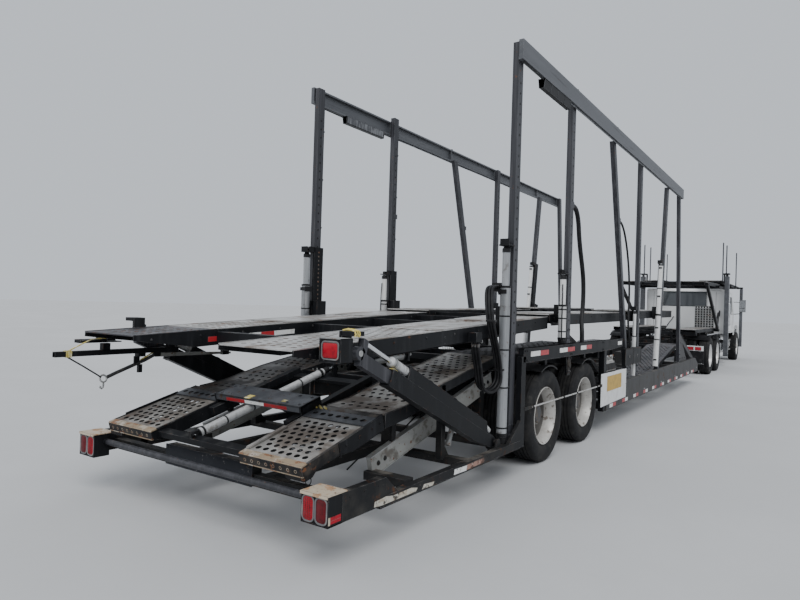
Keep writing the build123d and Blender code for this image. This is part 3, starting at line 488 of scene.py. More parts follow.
black_low = Mat("road_black_paint", (0.0085, 0.0090, 0.0100), 0.52, 0.0, bump=0.14, bump_scale=70, spec=.18, layers=(
    dict(scale=4.0, lo=.35, hi=.75, color=(0.019, 0.019, 0.020), rough=.65),
    dict(scale=5.0, lo=.40, hi=.75, color=(.060, .056, .050), rough=.85, amount=.65, z=(.25, .75)),
    dict(scale=12, lo=.58, hi=.68, color=(.10, .046, .025), rough=.9, amount=.85, also=dict(scale=1.8, lo=.46, hi=.6)),
    dict(scale=7.0, lo=.44, hi=.74, color=(.21, .19, .165), rough=.85, amount=.6, up=.55),
    dict(scale=45, lo=.66, hi=.70, color=(.30, .285, .26), rough=.5, amount=.6, also=dict(scale=2.2, lo=.5, hi=.58, w=5)),
)).m
edge_black = Mat("chipped_edge", (0.024, 0.025, 0.028), 0.45, 0.2, spec=.3, layers=(
    dict(scale=9, lo=.46, hi=.62, color=(.20, .195, .19), rough=.42, metal=.6, amount=.85),
    dict(scale=16, lo=.56, hi=.66, color=RUST, rough=.85, metal=0.0),
)).m
rail_m = Mat("grey_rail", (0.075, 0.079, 0.088), 0.42, 0.0, bump=0.05, bump_scale=50, spec=.35, layers=(
    dict(scale=2.0, stretch=(.3, 4, 4), lo=.40, hi=.72, color=(0.120, 0.125, 0.135), rough=.52),
    dict(scale=5.0, stretch=(.3, 8, 8), lo=.58, hi=.70, color=(0.050, 0.050, 0.054), rough=.6, amount=.6),
    dict(scale=22, lo=.67, hi=.71, color=RUST, rough=.85, amount=.6),
)).m
post = Mat("charcoal_post", (0.027, 0.028, 0.033), 0.42, 0.0, bump=0.06, bump_scale=50, spec=.3, layers=(
    dict(scale=3.0, stretch=(9, 9, .35), lo=.40, hi=.72, color=(0.062, 0.062, 0.070), rough=.5),
    dict(scale=6.0, stretch=(12, 12, .25), lo=.60, hi=.70, color=(0.14, 0.14, 0.15), rough=.6, amount=.55),
    dict(scale=22, lo=.67, hi=.71, color=RUST, rough=.85, amount=.7),
)).m
edge_post = Mat("post_edge", (0.075, 0.078, 0.086), 0.40, 0.2, layers=(
    dict(scale=6, stretch=(5, 5, 1), lo=.45, hi=.62, color=(.22, .225, .235), rough=.4, metal=.5),
)).m
deck = Mat("worn_deck_steel", (0.43, 0.42, 0.405), 0.36, 0.62, bump=0.16, bump_scale=120, layers=(
    dict(scale=4.5, lo=.38, hi=.72, color=(0.60, 0.59, 0.575), rough=.32),
    dict(scale=2.0, lo=.46, hi=.64, color=(0.25, 0.235, 0.21), rough=.5, amount=.8),
    dict(scale=1.5, stretch=(1, 2.2, 1), lo=.53, hi=.64, color=(0.14, 0.10, 0.072), rough=.75, metal=.1, amount=.8),
    dict(scale=11, lo=.57, hi=.66, color=RUST, rough=.85, metal=0.0, amount=.9, also=dict(scale=1.1, lo=.48, hi=.60)),
    dict(scale=38, stretch=(.25, 1, 1), lo=.60, hi=.66, color=(.25, .22, .19), rough=.6, amount=.5),
)).m
ramp_steel = Mat("worn_ramp_steel", (0.33, 0.315, 0.295), 0.42, 0.45, bump=0.18, bump_scale=110, layers=(
    dict(scale=5.0, lo=.36, hi=.66, color=(0.50, 0.485, 0.455), rough=.36),
    dict(scale=2.6, lo=.47, hi=.60, color=(0.125, 0.098, 0.078), rough=.65, metal=.1, amount=.88),
    dict(scale=9.0, lo=.56, hi=.66, color=(.10, .052, .032), rough=.85, metal=0.0, amount=.85, also=dict(scale=1.6, lo=.46, hi=.58)),
    dict(scale=38, stretch=(.25, 1, 1), lo=.60, hi=.66, color=(.15, .13, .11), rough=.6, amount=.5),
)).m
dark_deck = Mat("dark_tail_steel", (0.040, 0.040, 0.046), 0.46, 0.25, bump=0.2, bump_scale=90, spec=.3, layers=(
    dict(scale=5.0, lo=.40, hi=.66, color=(0.090, 0.086, 0.092), rough=.42),
    dict(scale=3.0, lo=.55, hi=.66, color=(.018, .018, .020), rough=.6, metal=0.0, amount=.8),
    dict(scale=14, lo=.58, hi=.66, color=(.12, .07, .05), rough=.85, metal=0.0, amount=.7),
)).m
ramp_dark = Mat("stained_ramp_steel", (0.20, 0.185, 0.165), 0.48, 0.35, bump=0.18, bump_scale=110, layers=(
    dict(scale=5.0, lo=.42, hi=.68, color=(0.37, 0.35, 0.32), rough=.38),
    dict(scale=2.6, lo=.46, hi=.62, color=(0.105, 0.085, 0.070), rough=.65, metal=.1, amount=.85),
    dict(scale=9.0, lo=.52, hi=.64, color=(.085, .045, .028), rough=.85, metal=0.0, amount=.85, also=dict(scale=1.6, lo=.42, hi=.56)),
)).m
arm_grey = Mat("worn_grey_arm", (0.26, 0.26, 0.245), 0.52, 0.1, bump=0.12, bump_scale=60, layers=(
    dict(scale=4.0, stretch=(1, 1, 2), lo=.40, hi=.68, color=(0.34, 0.34, 0.32), rough=.5),
    dict(scale=8.0, lo=.54, hi=.66, color=(.10, .085, .068), rough=.75, amount=.8),
    dict(scale=24.0, lo=.62, hi=.68, color=RUST, rough=.85, metal=0.0),
)).m
deck_rusty = Mat("dark_lower_runway", (0.052, 0.049, 0.046), 0.52, 0.3, bump=0.2, bump_scale=90, spec=.3, layers=(
    dict(scale=4.0, lo=.42, hi=.68, color=(0.115, 0.108, 0.100), rough=.42),
    dict(scale=6.0, lo=.52, hi=.64, color=(.11, .065, .040), rough=.8, metal=0.0, amount=.6),
    dict(scale=13, lo=.58, hi=.68, color=(.20, .17, .14), rough=.6, amount=.55),
    dict(scale=3.0, lo=.54, hi=.66, color=(.016, .016, .018), rough=.6, metal=0.0, amount=.85),
)).m
lip = Mat("tan_folded_lip", (0.33, 0.255, 0.170), 0.6, 0.15, bump=0.25, bump_scale=80, layers=(
    dict(scale=8.0, lo=.50, hi=.66, color=(0.56, 0.51, 0.43), rough=.42, metal=.4),
    dict(scale=12.0, lo=.52, hi=.62, color=(.22, .10, .045), rough=.85, metal=0.0, amount=.9),
    dict(scale=30.0, lo=.62, hi=.68, color=(.06, .04, .03), rough=.9, metal=0.0),
)).m
hole_wall = Mat("hole_wall", (0.10, 0.085, 0.07), 0.7, 0.3, layers=(
    dict(scale=20, lo=.5, hi=.6, color=RUST, rough=.85, metal=0.0),)).m
tan_top = Mat("tan_rusty_plate", (0.52, 0.44, 0.33), 0.55, 0.1, bump=0.2, bump_scale=90, layers=(
    dict(scale=14.0, lo=.50, hi=.62, color=(.40, .22, .11), rough=.8, amount=.9),
    dict(scale=30.0, lo=.60, hi=.66, color=(.13, .07, .04), rough=.9),
    dict(scale=9.0, lo=.60, hi=.68, color=(.74, .71, .66), rough=.45),
)).m
grey_plate = Mat("grey_bridge_plate", (0.060, 0.065, 0.074), 0.42, 0.25, bump=0.12, bump_scale=70, spec=.25, layers=(
    dict(scale=6.0, lo=.40, hi=.66, color=(0.115, 0.12, 0.132), rough=.38),
    dict(scale=20.0, lo=.60, hi=.67, color=(.10, .07, .05), rough=.8),
)).m
galv = Mat("bare_grey_steel", (0.30, 0.305, 0.30), 0.48, 0.45, bump=0.12, bump_scale=60, layers=(
    dict(scale=5.0, stretch=(1, 1, 2), lo=.40, hi=.68, color=(0.42, 0.42, 0.41), rough=.42),
    dict(scale=9.0, lo=.55, hi=.66, color=(.20, .17, .14), rough=.7, metal=.1, amount=.8),
    dict(scale=18.0, lo=.62, hi=.68, color=RUST, rough=.85, metal=0.0),
)).m
grey_cyl = Mat("grey_cylinder_paint", (0.30, 0.31, 0.32), 0.36, 0.3, bump=0.03, bump_scale=40, layers=(
    dict(scale=4.0, stretch=(8, 8, .5), lo=.45, hi=.70, color=(0.42, 0.43, 0.44), rough=.38),
    dict(scale=12.0, lo=.60, hi=.68, color=(.17, .16, .15), rough=.6, amount=.7),
    dict(scale=30.0, lo=.66, hi=.70, color=RUST, rough=.8, metal=0.0),
)).m
silver = Mat("silver_cylinder_paint", (0.56, 0.56, 0.555), 0.34, 0.35, bump=0.03, bump_scale=40, layers=(
    dict(scale=4.0, stretch=(8, 8, .5), lo=.45, hi=.70, color=(0.42, 0.42, 0.415), rough=.45),
    dict(scale=12.0, lo=.60, hi=.68, color=(.26, .24, .21), rough=.6, amount=.7),
    dict(scale=30.0, lo=.66, hi=.70, color=RUST, rough=.8, metal=0.0),
)).m
white_cyl = Mat("pale_cylinder_paint", (0.74, 0.74, 0.73), 0.32, 0.1, layers=(
    dict(scale=5.0, stretch=(8, 8, .5), lo=.45, hi=.70, color=(0.58, 0.58, 0.57), rough=.42),
    dict(scale=24.0, lo=.64, hi=.70, color=(.22, .19, .16), rough=.7, amount=.8),
)).m
chrome = Mat("polished_rod", (0.72, 0.73, 0.74), 0.12, 1.0, layers=(
    dict(scale=20, stretch=(1, 1, 1), lo=.50, hi=.75, color=(.50, .50, .50), rough=.28, amount=.7),)).m
rubber = Mat("hose_rubber", (0.0085, 0.0085, 0.0095), 0.46, 0.0, bump=0.05, bump_scale=300, spec=.25, layers=(
    dict(scale=14, lo=.45, hi=.7, color=(0.022, 0.022, 0.024), rough=.6),)).m
tyre_m = Mat("tyre_rubber", (0.0125, 0.0125, 0.0135), 0.72, 0.0, bump=0.12, bump_scale=160, spec=.2, layers=(
    dict(scale=5.0, lo=.40, hi=.70, color=(0.029, 0.028, 0.027), rough=.85),
    dict(scale=9.0, lo=.50, hi=.72, color=(.058, .056, .051), rough=.9, amount=.55),
)).m
wheel = Mat("white_wheel_paint", (0.72, 0.715, 0.70), 0.30, 0.15, bump=0.03, layers=(
    dict(scale=6.0, lo=.48, hi=.72, color=(0.52, 0.50, 0.46), rough=.45, amount=.8),
    dict(scale=16.0, lo=.60, hi=.68, color=(.24, .17, .11), rough=.75, amount=.8),
)).m
wheel_worn = Mat("worn_grey_white_rim", (0.52, 0.505, 0.475), 0.36, 0.15, bump=0.05, layers=(
    dict(scale=6.0, lo=.44, hi=.70, color=(0.36, 0.34, 0.31), rough=.5, amount=.85),
    dict(scale=14.0, lo=.56, hi=.67, color=(.13, .10, .075), rough=.8, amount=.85),
)).m
wheel_dark = Mat("dark_hub", (0.05, 0.05, 0.052), 0.45, 0.3, layers=(
    dict(scale=10.0, lo=.50, hi=.65, color=(.16, .13, .10), rough=.8),)).m
# brake dust on the trailer wheels, plus painted shade for their deep dish: inner barrel, cone, disc and hub
wheel_dust_and_dish_shade = Mat("brake_dust_and_painted_dish_shade", (0.135, 0.128, 0.118), 0.62, 0.1, bump=0.1, layers=(
    dict(scale=5.0, lo=.44, hi=.70, color=(0.24, 0.232, 0.215), rough=.55, amount=.8),
    dict(scale=12.0, lo=.54, hi=.66, color=(.055, .045, .038), rough=.85, amount=.9),
)).m
iron = Mat("greasy_iron", (0.016, 0.016, 0.017), 0.55, 0.2, bump=0.3, bump_scale=40, spec=.2, layers=(
    dict(scale=7.0, lo=.45, hi=.70, color=(.060, .052, .044), rough=.85, metal=0.0),
    dict(scale=15.0, lo=.60, hi=.68, color=RUST, rough=.9, metal=0.0),
)).m
white = Mat("white_panel_paint", (0.74, 0.745, 0.74), 0.30, 0.0, coat=.25, layers=(
    dict(scale=3.0, lo=.50, hi=.75, color=(0.60, 0.60, 0.585), rough=.42),
    dict(scale=9.0, lo=.60, hi=.72, color=(.40, .38, .34), rough=.6, amount=.5),
)).m
cab_white = Mat("cab_white_gloss", (0.78, 0.785, 0.78), 0.22, 0.0, coat=.6, layers=(
    dict(scale=1.5, lo=.45, hi=.75, color=(0.70, 0.70, 0.685), rough=.3),
    dict(scale=3.0, lo=.50, hi=.75, color=(.42, .40, .36), rough=.6, amount=.35, z=(.5, 1.3)),
)).m
glass_m = Mat("tinted_glass", (0.045, 0.052, 0.058), 0.05, 0.0, coat=1.0, layers=(
    dict(scale=1.2, lo=.4, hi=.8, color=(0.075, 0.085, 0.092), rough=.08),)).m
trim = Mat("grey_trim", (0.14, 0.14, 0.145), 0.7, 0.0, bump=0.3, bump_scale=200, layers=(
    dict(scale=8, lo=.4, hi=.7, color=(.19, .185, .18), rough=.8),)).m
black_plastic = Mat("black_plastic", (0.0085, 0.0085, 0.0095), 0.45, 0.0, bump=0.05, bump_scale=200, spec=.25, layers=(
    dict(scale=10, lo=.5, hi=.75, color=(.030, .030, .031), rough=.6),)).m
bright = Mat("polished_metal", (0.66, 0.67, 0.68), 0.16, 1.0, layers=(
    dict(scale=5, lo=.5, hi=.75, color=(.46, .45, .43), rough=.32),
    dict(scale=22, lo=.66, hi=.72, color=(.20, .17, .14), rough=.6, metal=.3),
)).m
red_lens = Mat("red_lens", (0.36, 0.004, 0.016), 0.42, 0.0, spec=.25, bump=0.0, layers=(
    dict(scale=30, lo=.45, hi=.70, color=(.22, .005, .014), rough=.3),)).m
red_lens.node_tree.nodes["Principled BSDF"].inputs["Emission Color"].default_value = (0.5, 0.0, 0.005, 1)
red_lens.node_tree.nodes["Principled BSDF"].inputs["Emission Strength"].default_value = 0.05
amber = Mat("amber_lens", (0.55, 0.20, 0.02), 0.2, 0.0, coat=.8, layers=(
    dict(scale=30, lo=.45, hi=.70, color=(.42, .14, .012), rough=.25),)).m
clear = Mat("clear_lens", (0.80, 0.82, 0.84), 0.12, 0.2, coat=.8, layers=(
    dict(scale=30, lo=.45, hi=.70, color=(.60, .62, .65), rough=.2),)).m
tape_red = Mat("red_tape", (0.42, 0.020, 0.026), 0.35, 0.0, layers=(
    dict(scale=25, lo=.55, hi=.68, color=(.20, .05, .05), rough=.6),
    dict(scale=60, lo=.64, hi=.68, color=(.10, .09, .085), rough=.7),)).m
tape_white = Mat("white_tape", (0.76, 0.76, 0.74), 0.30, 0.0, layers=(
    dict(scale=20, lo=.55, hi=.68, color=(.48, .46, .42), rough=.5),
    dict(scale=50, lo=.64, hi=.68, color=(.14, .13, .12), rough=.7),)).m
yellow = Mat("yellow_strap", (0.62, 0.50, 0.12), 0.75, 0.0, bump=0.2, bump_scale=400, layers=(
    dict(scale=22, lo=.45, hi=.65, color=(.72, .66, .42), rough=.8),
    dict(scale=40, lo=.60, hi=.68, color=(.25, .19, .08), rough=.9),)).m
strap_black = Mat("black_webbing", (0.03, 0.03, 0.032), 0.85, 0.0, bump=0.3, bump_scale=500, layers=(
    dict(scale=30, lo=.5, hi=.7, color=(.08, .075, .065), rough=.9),)).m
steel_bar = Mat("winch_steel", (0.62, 0.61, 0.59), 0.32, 0.8, layers=(
    dict(scale=15, lo=.5, hi=.65, color=(.40, .37, .33), rough=.5),
    dict(scale=40, lo=.62, hi=.68, color=RUST, rough=.8, metal=0.0),)).m

rubber_grey = Mat("grey_rubber_ring", (0.13, 0.13, 0.135), 0.6, 0.0, bump=0.05, bump_scale=200, layers=(
    dict(scale=12, lo=.45, hi=.7, color=(.24, .23, .22), rough=.7),)).m
red_dark = Mat("dark_red_lens", (0.115, 0.003, 0.008), 0.42, 0.0, spec=.25, layers=(
    dict(scale=30, lo=.45, hi=.70, color=(.065, .003, .005), rough=.45),)).m
tape_worn = Mat("worn_cream_tape", (0.50, 0.47, 0.40), 0.6, 0.0, bump=.15, bump_scale=60, layers=(
    dict(scale=14, lo=.52, hi=.60, color=(.055, .048, .040), rough=.8),
    dict(scale=30, lo=.50, hi=.66, color=(.34, .27, .19), rough=.7, amount=.8))).m
tape_brown = Mat("worn_brown_tape", (0.30, 0.17, 0.13), 0.6, 0.0, bump=.15, bump_scale=60, layers=(
    dict(scale=16, lo=.50, hi=.60, color=(.10, .055, .04), rough=.8),
    dict(scale=34, lo=.55, hi=.64, color=(.42, .33, .28), rough=.7, amount=.8))).m
blue_black = Mat("blue_black_plate", (0.0075, 0.0095, 0.0145), 0.36, 0.0, bump=.08, bump_scale=80, spec=.2, layers=(
    dict(scale=5, lo=.45, hi=.75, color=(.020, .022, .028), rough=.5),
    dict(scale=24, lo=.62, hi=.68, color=(.20, .19, .18), rough=.6, amount=.6))).m
# near-black for hole walls and for flat discs and squares drawn in place of holes: painted shade
hole_painted_shade = Mat("painted_hole_shade", (0.006, 0.006, 0.007), 0.9, 0.0, layers=(
    dict(scale=20, lo=.5, hi=.7, color=(.02, .015, .012), rough=.9),)).m
brown_knob = Mat("brown_knob", (0.20, 0.085, 0.035), 0.4, 0.0, layers=(
    dict(scale=30, lo=.5, hi=.7, color=(.12, .05, .025), rough=.55),)).m
ochre = Mat("ochre_patch", (0.52, 0.33, 0.06), 0.5, 0.0, layers=(
    dict(scale=14, lo=.45, hi=.7, color=(.42, .27, .07), rough=.6),)).m
nut_m = Mat("worn_nuts", (0.42, 0.41, 0.39), 0.38, 0.7, layers=(
    dict(scale=40, lo=.48, hi=.62, color=(.20, .14, .10), rough=.8, metal=.1),)).m
seam = Mat("panel_seam", (0.10, 0.10, 0.10), 0.7, 0.0, layers=(
    dict(scale=20, lo=.45, hi=.7, color=(.17, .165, .155), rough=.8),)).m

# ------------------------------------------------------------------ camera, floor, light
CAM = Vector((-2.6136 - XC / 1000, -3.5194, 1.5433))
YAW, PITCH, ROLL = radians(34.32), radians(0.45), 0.0309
cam = bpy.data.objects.new("camera", bpy.data.cameras.new("camera"))
bpy.context.scene.collection.objects.link(cam)
cam.data.sensor_width = 36.0
cam.data.lens = 613.96 / 800 * 36
cam.data.clip_start = 0.05
cam.data.clip_end = 400
f = Vector((cos(PITCH) * cos(YAW), cos(PITCH) * sin(YAW), sin(PITCH)))
q = f.to_track_quat("-Z", "Y")
cam.rotation_mode = "QUATERNION"
cam.rotation_quaternion = q @ Matrix.Rotation(ROLL, 3, "Z").to_quaternion()
cam.location = CAM
bpy.context.scene.camera = cam

fl = bpy.data.meshes.new("floor")
S = 150.0
fl.from_pydata([(-S, -S, 0), (S, -S, 0), (S, S, 0), (-S, S, 0)], [], [(0, 1, 2, 3)])
floor = bpy.data.objects.new("floor", fl)
bpy.context.scene.collection.objects.link(floor)
fl.materials.append(Mat("pale_floor", (0.50, 0.505, 0.51), 0.85, 0.0, layers=(
    dict(scale=.35, lo=.35, hi=.75, color=(0.54, 0.545, 0.55), rough=.85),)).m)

world = bpy.data.worlds.new("world")
bpy.context.scene.world = world
world.use_nodes = True
world.node_tree.nodes["Background"].inputs["Color"].default_value = (0.80, 0.85, 0.92, 1)
world.node_tree.nodes["Background"].inputs["Strength"].default_value = 0.85
for nm, rot, en, ang in (("key", (radians(38), radians(-8), radians(-35)), 1.9, 40), ("fill", (radians(60), 0, radians(-130)), 0.5, 60)):
    l = bpy.data.lights.new(nm, "SUN")
    l.energy = en
    l.angle = radians(ang)
    o = bpy.data.objects.new(nm, l)
    o.rotation_euler = rot
    bpy.context.scene.collection.objects.link(o)


# ------------------------------------------------------------------ free hoses
def wave(dy, dx, dz, base):
    n = len(base) - 1
    k = [sin(pi * (min(max(i, 1), n - 1) - 1) / (n - 2)) ** 2 for i in range(n + 1)]
    return [(x + dx * w, y + dy, z + dz * w) for (x, y, z), w in zip(base, k)]


P1_ROUTE = ((2452, -1106, 1735), (2365, -1106, 1735), (2285, -1122, 1700), (2232, -1146, 1622), (2208, -1168, 1515),
            (2212, -1186, 1390), (2262, -1196, 1250), (2322, -1199, 1118), (2357, -1199, 1000), (2364, -1198, 912),
            (2327, -1186, 848), (2260, -1164, 816), (2187, -1143, 826), (2132, -1134, 875), (2110, -1133, 962),
            (2085, -1133, 1050), (2052, -1133, 1130), (2034, -1133, 1190), (2034, -1133, 1250))
P2_ROUTE = ((4140, -1205, 2720), (4235, -1205, 2720), (4322, -1206, 2660), (4375, -1207, 2560), (4400, -1208, 2430),
            (4450, -1208, 2280), (4528, -1208, 2112), (4606, -1207, 1935), (4632, -1206, 1760), (4622, -1206, 1580),
            (4572, -1214, 1470), (4510, -1234, 1375), (4468, -1256, 1275), (4468, -1256, 1175))
P3_ROUTE = ((6085, -1205, 2800), (6180, -1205, 2800), (6275, -1205, 2762), (6370, -1205, 2700), (6467, -1205, 2600),
            (6550, -1205, 2480), (6622, -1205, 2350), (6680, -1205, 2210), (6728, -1205, 2050), (6757, -1206, 1870),
            (6750, -1208, 1690), (6712, -1212, 1530), (6672, -1222, 1380), (6652, -1240, 1240), (6650, -1260, 1130),
            (6650, -1260, 1020))


def hose(name, body, d, pts):
    cu = bpy.data.curves.new(name, "CURVE")
    cu.dimensions = "3D"
    sp = cu.splines.new("NURBS")
    sp.points.add(len(pts) - 1)
    for p, (x, y, z) in zip(sp.points, pts):
        p.co = ((x - XC) / 1000, y / 1000, z / 1000, 1)
    sp.order_u = 3
    sp.use_endpoint_u = True
    sp.resolution_u = 8
    cu.bevel_depth = d / 2000
    cu.bevel_resolution = 4
    cu.use_fill_caps = True
    cu.materials.append(rubber)
    o = bpy.data.objects.new("hose_" + name, cu)
    bpy.context.scene.collection.objects.link(o)
    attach(o, body)
    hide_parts(name)


hose("p1_hose_inner", "rear_deck", 26.0, wave(28.0, 3.0, 10.0, P1_ROUTE))
hose("p1_hose_middle", "rear_deck", 26.0, P1_ROUTE)
hose("p1_hose_outer", "rear_deck", 26.0, wave(-28.0, -6.0, -14.0, P1_ROUTE))
hose("p2_hose", "trailer", 52.0, P2_ROUTE)
hose("p3_hose", "trailer", 28.0, P3_ROUTE)

# ------------------------------------------------------------------ dimensions shared by the pieces
POSTS = (("p1", 2575.0, 2575.0, 3960.0, 338.0, 100.0), ("p2", 4060.0, 4060.0, 4020.0, 1175.0, 100.0), ("p3", 5690.0, 6690.0, 3800.0, 575.0, 95.0),
         ("p4", 7240.0, 7240.0, 3960.0, 575.0, 100.0), ("p5", 9215.0, 8745.0, 3800.0, 575.0, 120.0), ("p6", 10340.0, 10735.0, 3960.0, 575.0, 110.0))
P = {p[0]: p for p in POSTS}
R0, R1 = (70.0, 565.0), (1640.0, 974.0)
RS = atan2(R1[1] - R0[1], R1[0] - R0[0])
RC, RSN = cos(RS), sin(RS)
RL = 830.0
LOW = ((912, 771), (1180, 800), (1640, 905), (2700, 1085), (5250, 1122), (6500, 470), (9250, 470), (11350, 850), (12540, 850))
RD = ((-100.0, 1268.0), (3800.0, 1462.0))
MD = ((3850.0, 1490.0), (7060.0, 1530.0))
FD = ((7400.0, 1560.0), (10560.0, 1590.0))
AF, AT = (2290.0, 376.0), (380.0, 1235.0)
AL = hypot(AF[0] - AT[0], AF[1] - AT[1])
AU = ((AT[0] - AF[0]) / AL, (AT[1] - AF[1]) / AL)


def rp(s, h):
    return (R0[0] + s * RC - h * RSN, R0[1] + s * RSN + h * RC)


def ap(s, h):
    return (AF[0] + AU[0] * s + AU[1] * h, AF[1] + AU[1] * s - AU[0] * h)


def post_x(p, z):
    _, xt, xb, zt, zb, _ = p
    return xb + (xt - xb) * (z - zb) / (zt - zb)


def line_z(D, x):
    return D[0][1] + (D[1][1] - D[0][1]) * (x - D[0][0]) / (D[1][0] - D[0][0])


def low_z(x):
    for (xa, za), (xb, zb) in zip(LOW, LOW[1:]):
        if xa <= x <= xb:
            return za + (zb - za) * (x - xa) / (xb - xa)


def rbar(m, s0, s1, h0, h1, y0, y1, mat=0):
    m.xz([rp(s0, h0), rp(s1, h0), rp(s1, h1), rp(s0, h1)], y0, y1, mat)


# ------------------------------------------------------------------ slide-out ramps
m = M()
m.pl = M()
STEEL, BLK, LIP, HOLE, GREY, TR, TW, YEL, RUSTY, WORN, IRN = range(11)
for y0, y1 in ((470, 1020), (-1020, -470)):
    inner = y0 if y0 > 0 else y1
    # the ramp plates' hole walls take the near-black hole material: painted shade
    m.plate(rp(52, 0), rp(612, 0), y0 + 8, y1 - 8, 7, r=20.5, pu=63, pv=68, mu=10, mv=22, n=16, mat=STEEL if y0 < 0 else 11, hmat=HOLE)
    m.plate(rp(606, 0), rp(RL, 0), y0 + 8, y1 - 8, 7, r=20.5, pu=70, pv=68, mu=26, mv=22, n=12, mat=WORN, hmat=HOLE)
    # dark perforated strip across the runway in line with the bridge plate
    m.plate(rp(612, 9), rp(752, 9), y0 + 1, y1 - 1, 6, r=21, pu=66, pv=72, mu=4, mv=14, n=16, mat=GREY, hmat=HOLE)
    # folded rear lip: worn tan top, dark rear face with a row of small bright-edged holes
    m.xz([rp(2, -6), rp(7, 3), rp(60, 3), rp(60, -8), rp(14, -8), rp(10, -12)], y0, y1, LIP)
    m.xz([rp(0.6, -62), rp(0.6, -6), rp(10, -6), rp(10, -62)], y0, y1, IRN)
    m.xz([rp(0, -70), rp(0, -61), rp(14, -61), rp(14, -70)], y0, y1, LIP)
    for k in range(8):
        y = y0 + 55 + k * (y1 - y0 - 110) / 7
        a, b = rp(-0.4, -36), rp(3, -36)
        m.ring((a[0], y, a[1]), (b[0], y, b[1]), 7, 12, 16, LIP)
    # side plates: shallow and grey at the rear of the outer side, deep and black forward of the seam and inside
    for ya, yb in ((y0, y0 + 10), (y1 - 10, y1)):
        outer_side = (yb > 1000) or (ya < -1000)
        if outer_side:
            m.xz([rp(8, -3), rp(8, -70), rp(345, -80), rp(345, -3)], ya, yb, IRN)
            m.xz([rp(349, -3), rp(349, -82), rp(480, -115), rp(RL, -115), rp(RL, -3)], ya - 1, yb + 1, BLK)
            rbar(m, 349, 357, -100, 2, ya - 3, yb + 3, BLK)
            rbar(m, 50, 612, -4, 5, ya, yb, BLK if y0 > 0 else WORN)
        else:
            m.xz([rp(8, -3), rp(8, -68), rp(120, -104), rp(RL, -115), rp(RL, -3)], ya, yb, BLK)
            rbar(m, 50, 612, -4, 4, ya, yb, BLK if y0 > 0 else STEEL)
        rbar(m, 606, RL, -4, 4, ya, yb, BLK)
    if inner > 0:
        # raised dark border along the outer edge of the left runway
        rbar(m, 150, 640, 2, 17, y1 - 9, y1, BLK)
    else:
        # pale worn angle along the inner edge of the right runway
        rbar(m, 70, 420, 2, 14, inner - 34, inner - 1, STEEL)
    # worn foot under the outer rear corner, inner corner block, rings
    yo = (y1 - 150, y1 - 4) if y0 > 0 else (y0 + 4, y0 + 150)
    m.xz([rp(2, -96), rp(2, -66), rp(96, -66), rp(120, -84), rp(84, -104), rp(20, -104)], yo[0], yo[1], RUSTY)
    yc = y1 - 20 if y0 > 0 else y0 + 20
    c = rp(60, -104)
    pts = [(c[0] + 26 * cos(a), yc + 8 * sin(a), c[1] - 10 + 26 * sin(a)) for a in [2 * pi * k / 20 for k in range(20)]]
    m.tube(pts, 3.2, 8, RUSTY, closed=True)
    # stiffening ribs under the skin
    for s in (180, 330, 520, 700):
        rbar(m, s, s + 8, -60, -8, y0 + 9, y1 - 9, BLK)
    # bolts on the deep part of the side plates
    ys, dn = (y1 + 1, 1) if y0 > 0 else (y0 - 1, -1)
    for s in (420, 560, 700, 790):
        a = rp(s, -50)
        m.bolt((a[0], ys, a[1]), (0, dn, 0), 8, 6, BLK)
    # longitudinal bars under the skin, seen from below
    for yb_ in (y0 + 170, y1 - 190):
        rbar(m, 70, RL - 10, -44, -8, yb_, yb_ + 12, BLK)
# spreader, bridge plate, tongues
rbar(m, 60, 130, -66, -20, -470, 470, BLK)
rbar(m, 600, 820, 63, 75, -470, 470, GREY)
rbar(m, 600, 612, 28, 75, -470, 470, GREY)
rbar(m, 812, 820, 45, 75, -470, 470, GREY)
for s in (1, -1):
    ya, yb = (452, 470) if s > 0 else (-470, -452)
    rbar(m, 600, 820, -60, 75, ya, yb, BLK)
    ya, yb = (436, 453) if s > 0 else (-453, -436)
    rbar(m, 740, 820, -60, 0, ya, yb, BLK)
    ya, yb = (380, 440) if s > 0 else (-440, -380)
    rbar(m, 500, 1500, -60, 0, ya, yb, BLK)
rbar(m, 1400, 1480, -72, -46, -440, 440, BLK)
for a, b, mt in ((330, 120, TR), (120, -90, TW), (-90, -330, TR)):
    rbar(m, 598.6, 600.5, 34, 62, b, a, mt)
for y in (-420, -300, 300, 420):
    a = rp(640, 75)
    m.bolt((a[0], y, a[1]), (-RSN, 0, RC), 10, 7, GREY)
    a = rp(780, 75)
    m.bolt((a[0], y, a[1]), (-RSN, 0, RC), 10, 7, GREY)
# worn strap wound over the bridge and a loose knot on the right runway
for y0, w, sa, sb in ((62, 62, 600, 668), (-282, 44, 640, 676)):
    for k in range(3):
        rbar(m, sa + k * (sb - sa) / 3, sa + (k + 1) * (sb - sa) / 3 - 3, 74.5, 79 + k % 2 * 2, y0 + 3 * (k % 2), y0 + w - 4 * (k % 2), YEL)
for k in range(6):
    a = rp(770 + 14 * sin(k * 2.1), 6 + k)
    m.cyl((a[0], -560 + k * 17, a[1]), (a[0] + 16, -530 + k * 17, a[1] + 3), 8, 10, YEL)
m.build("loading_ramps_steel", "ramps", [ramp_steel, black, lip, hole_painted_shade, grey_plate, tape_red, tape_white, yellow, iron, deck_rusty, iron, ramp_dark], "deck_steel",
        replaces=["loading_ramps"], bevel=1.6, edge=edge_black, seg=1)

# extension cylinder: silver barrel with black bands
m = M()


def on_ramp(s, y, h=-10.0):
    a = rp(s, h)
    return (a[0], y, a[1])


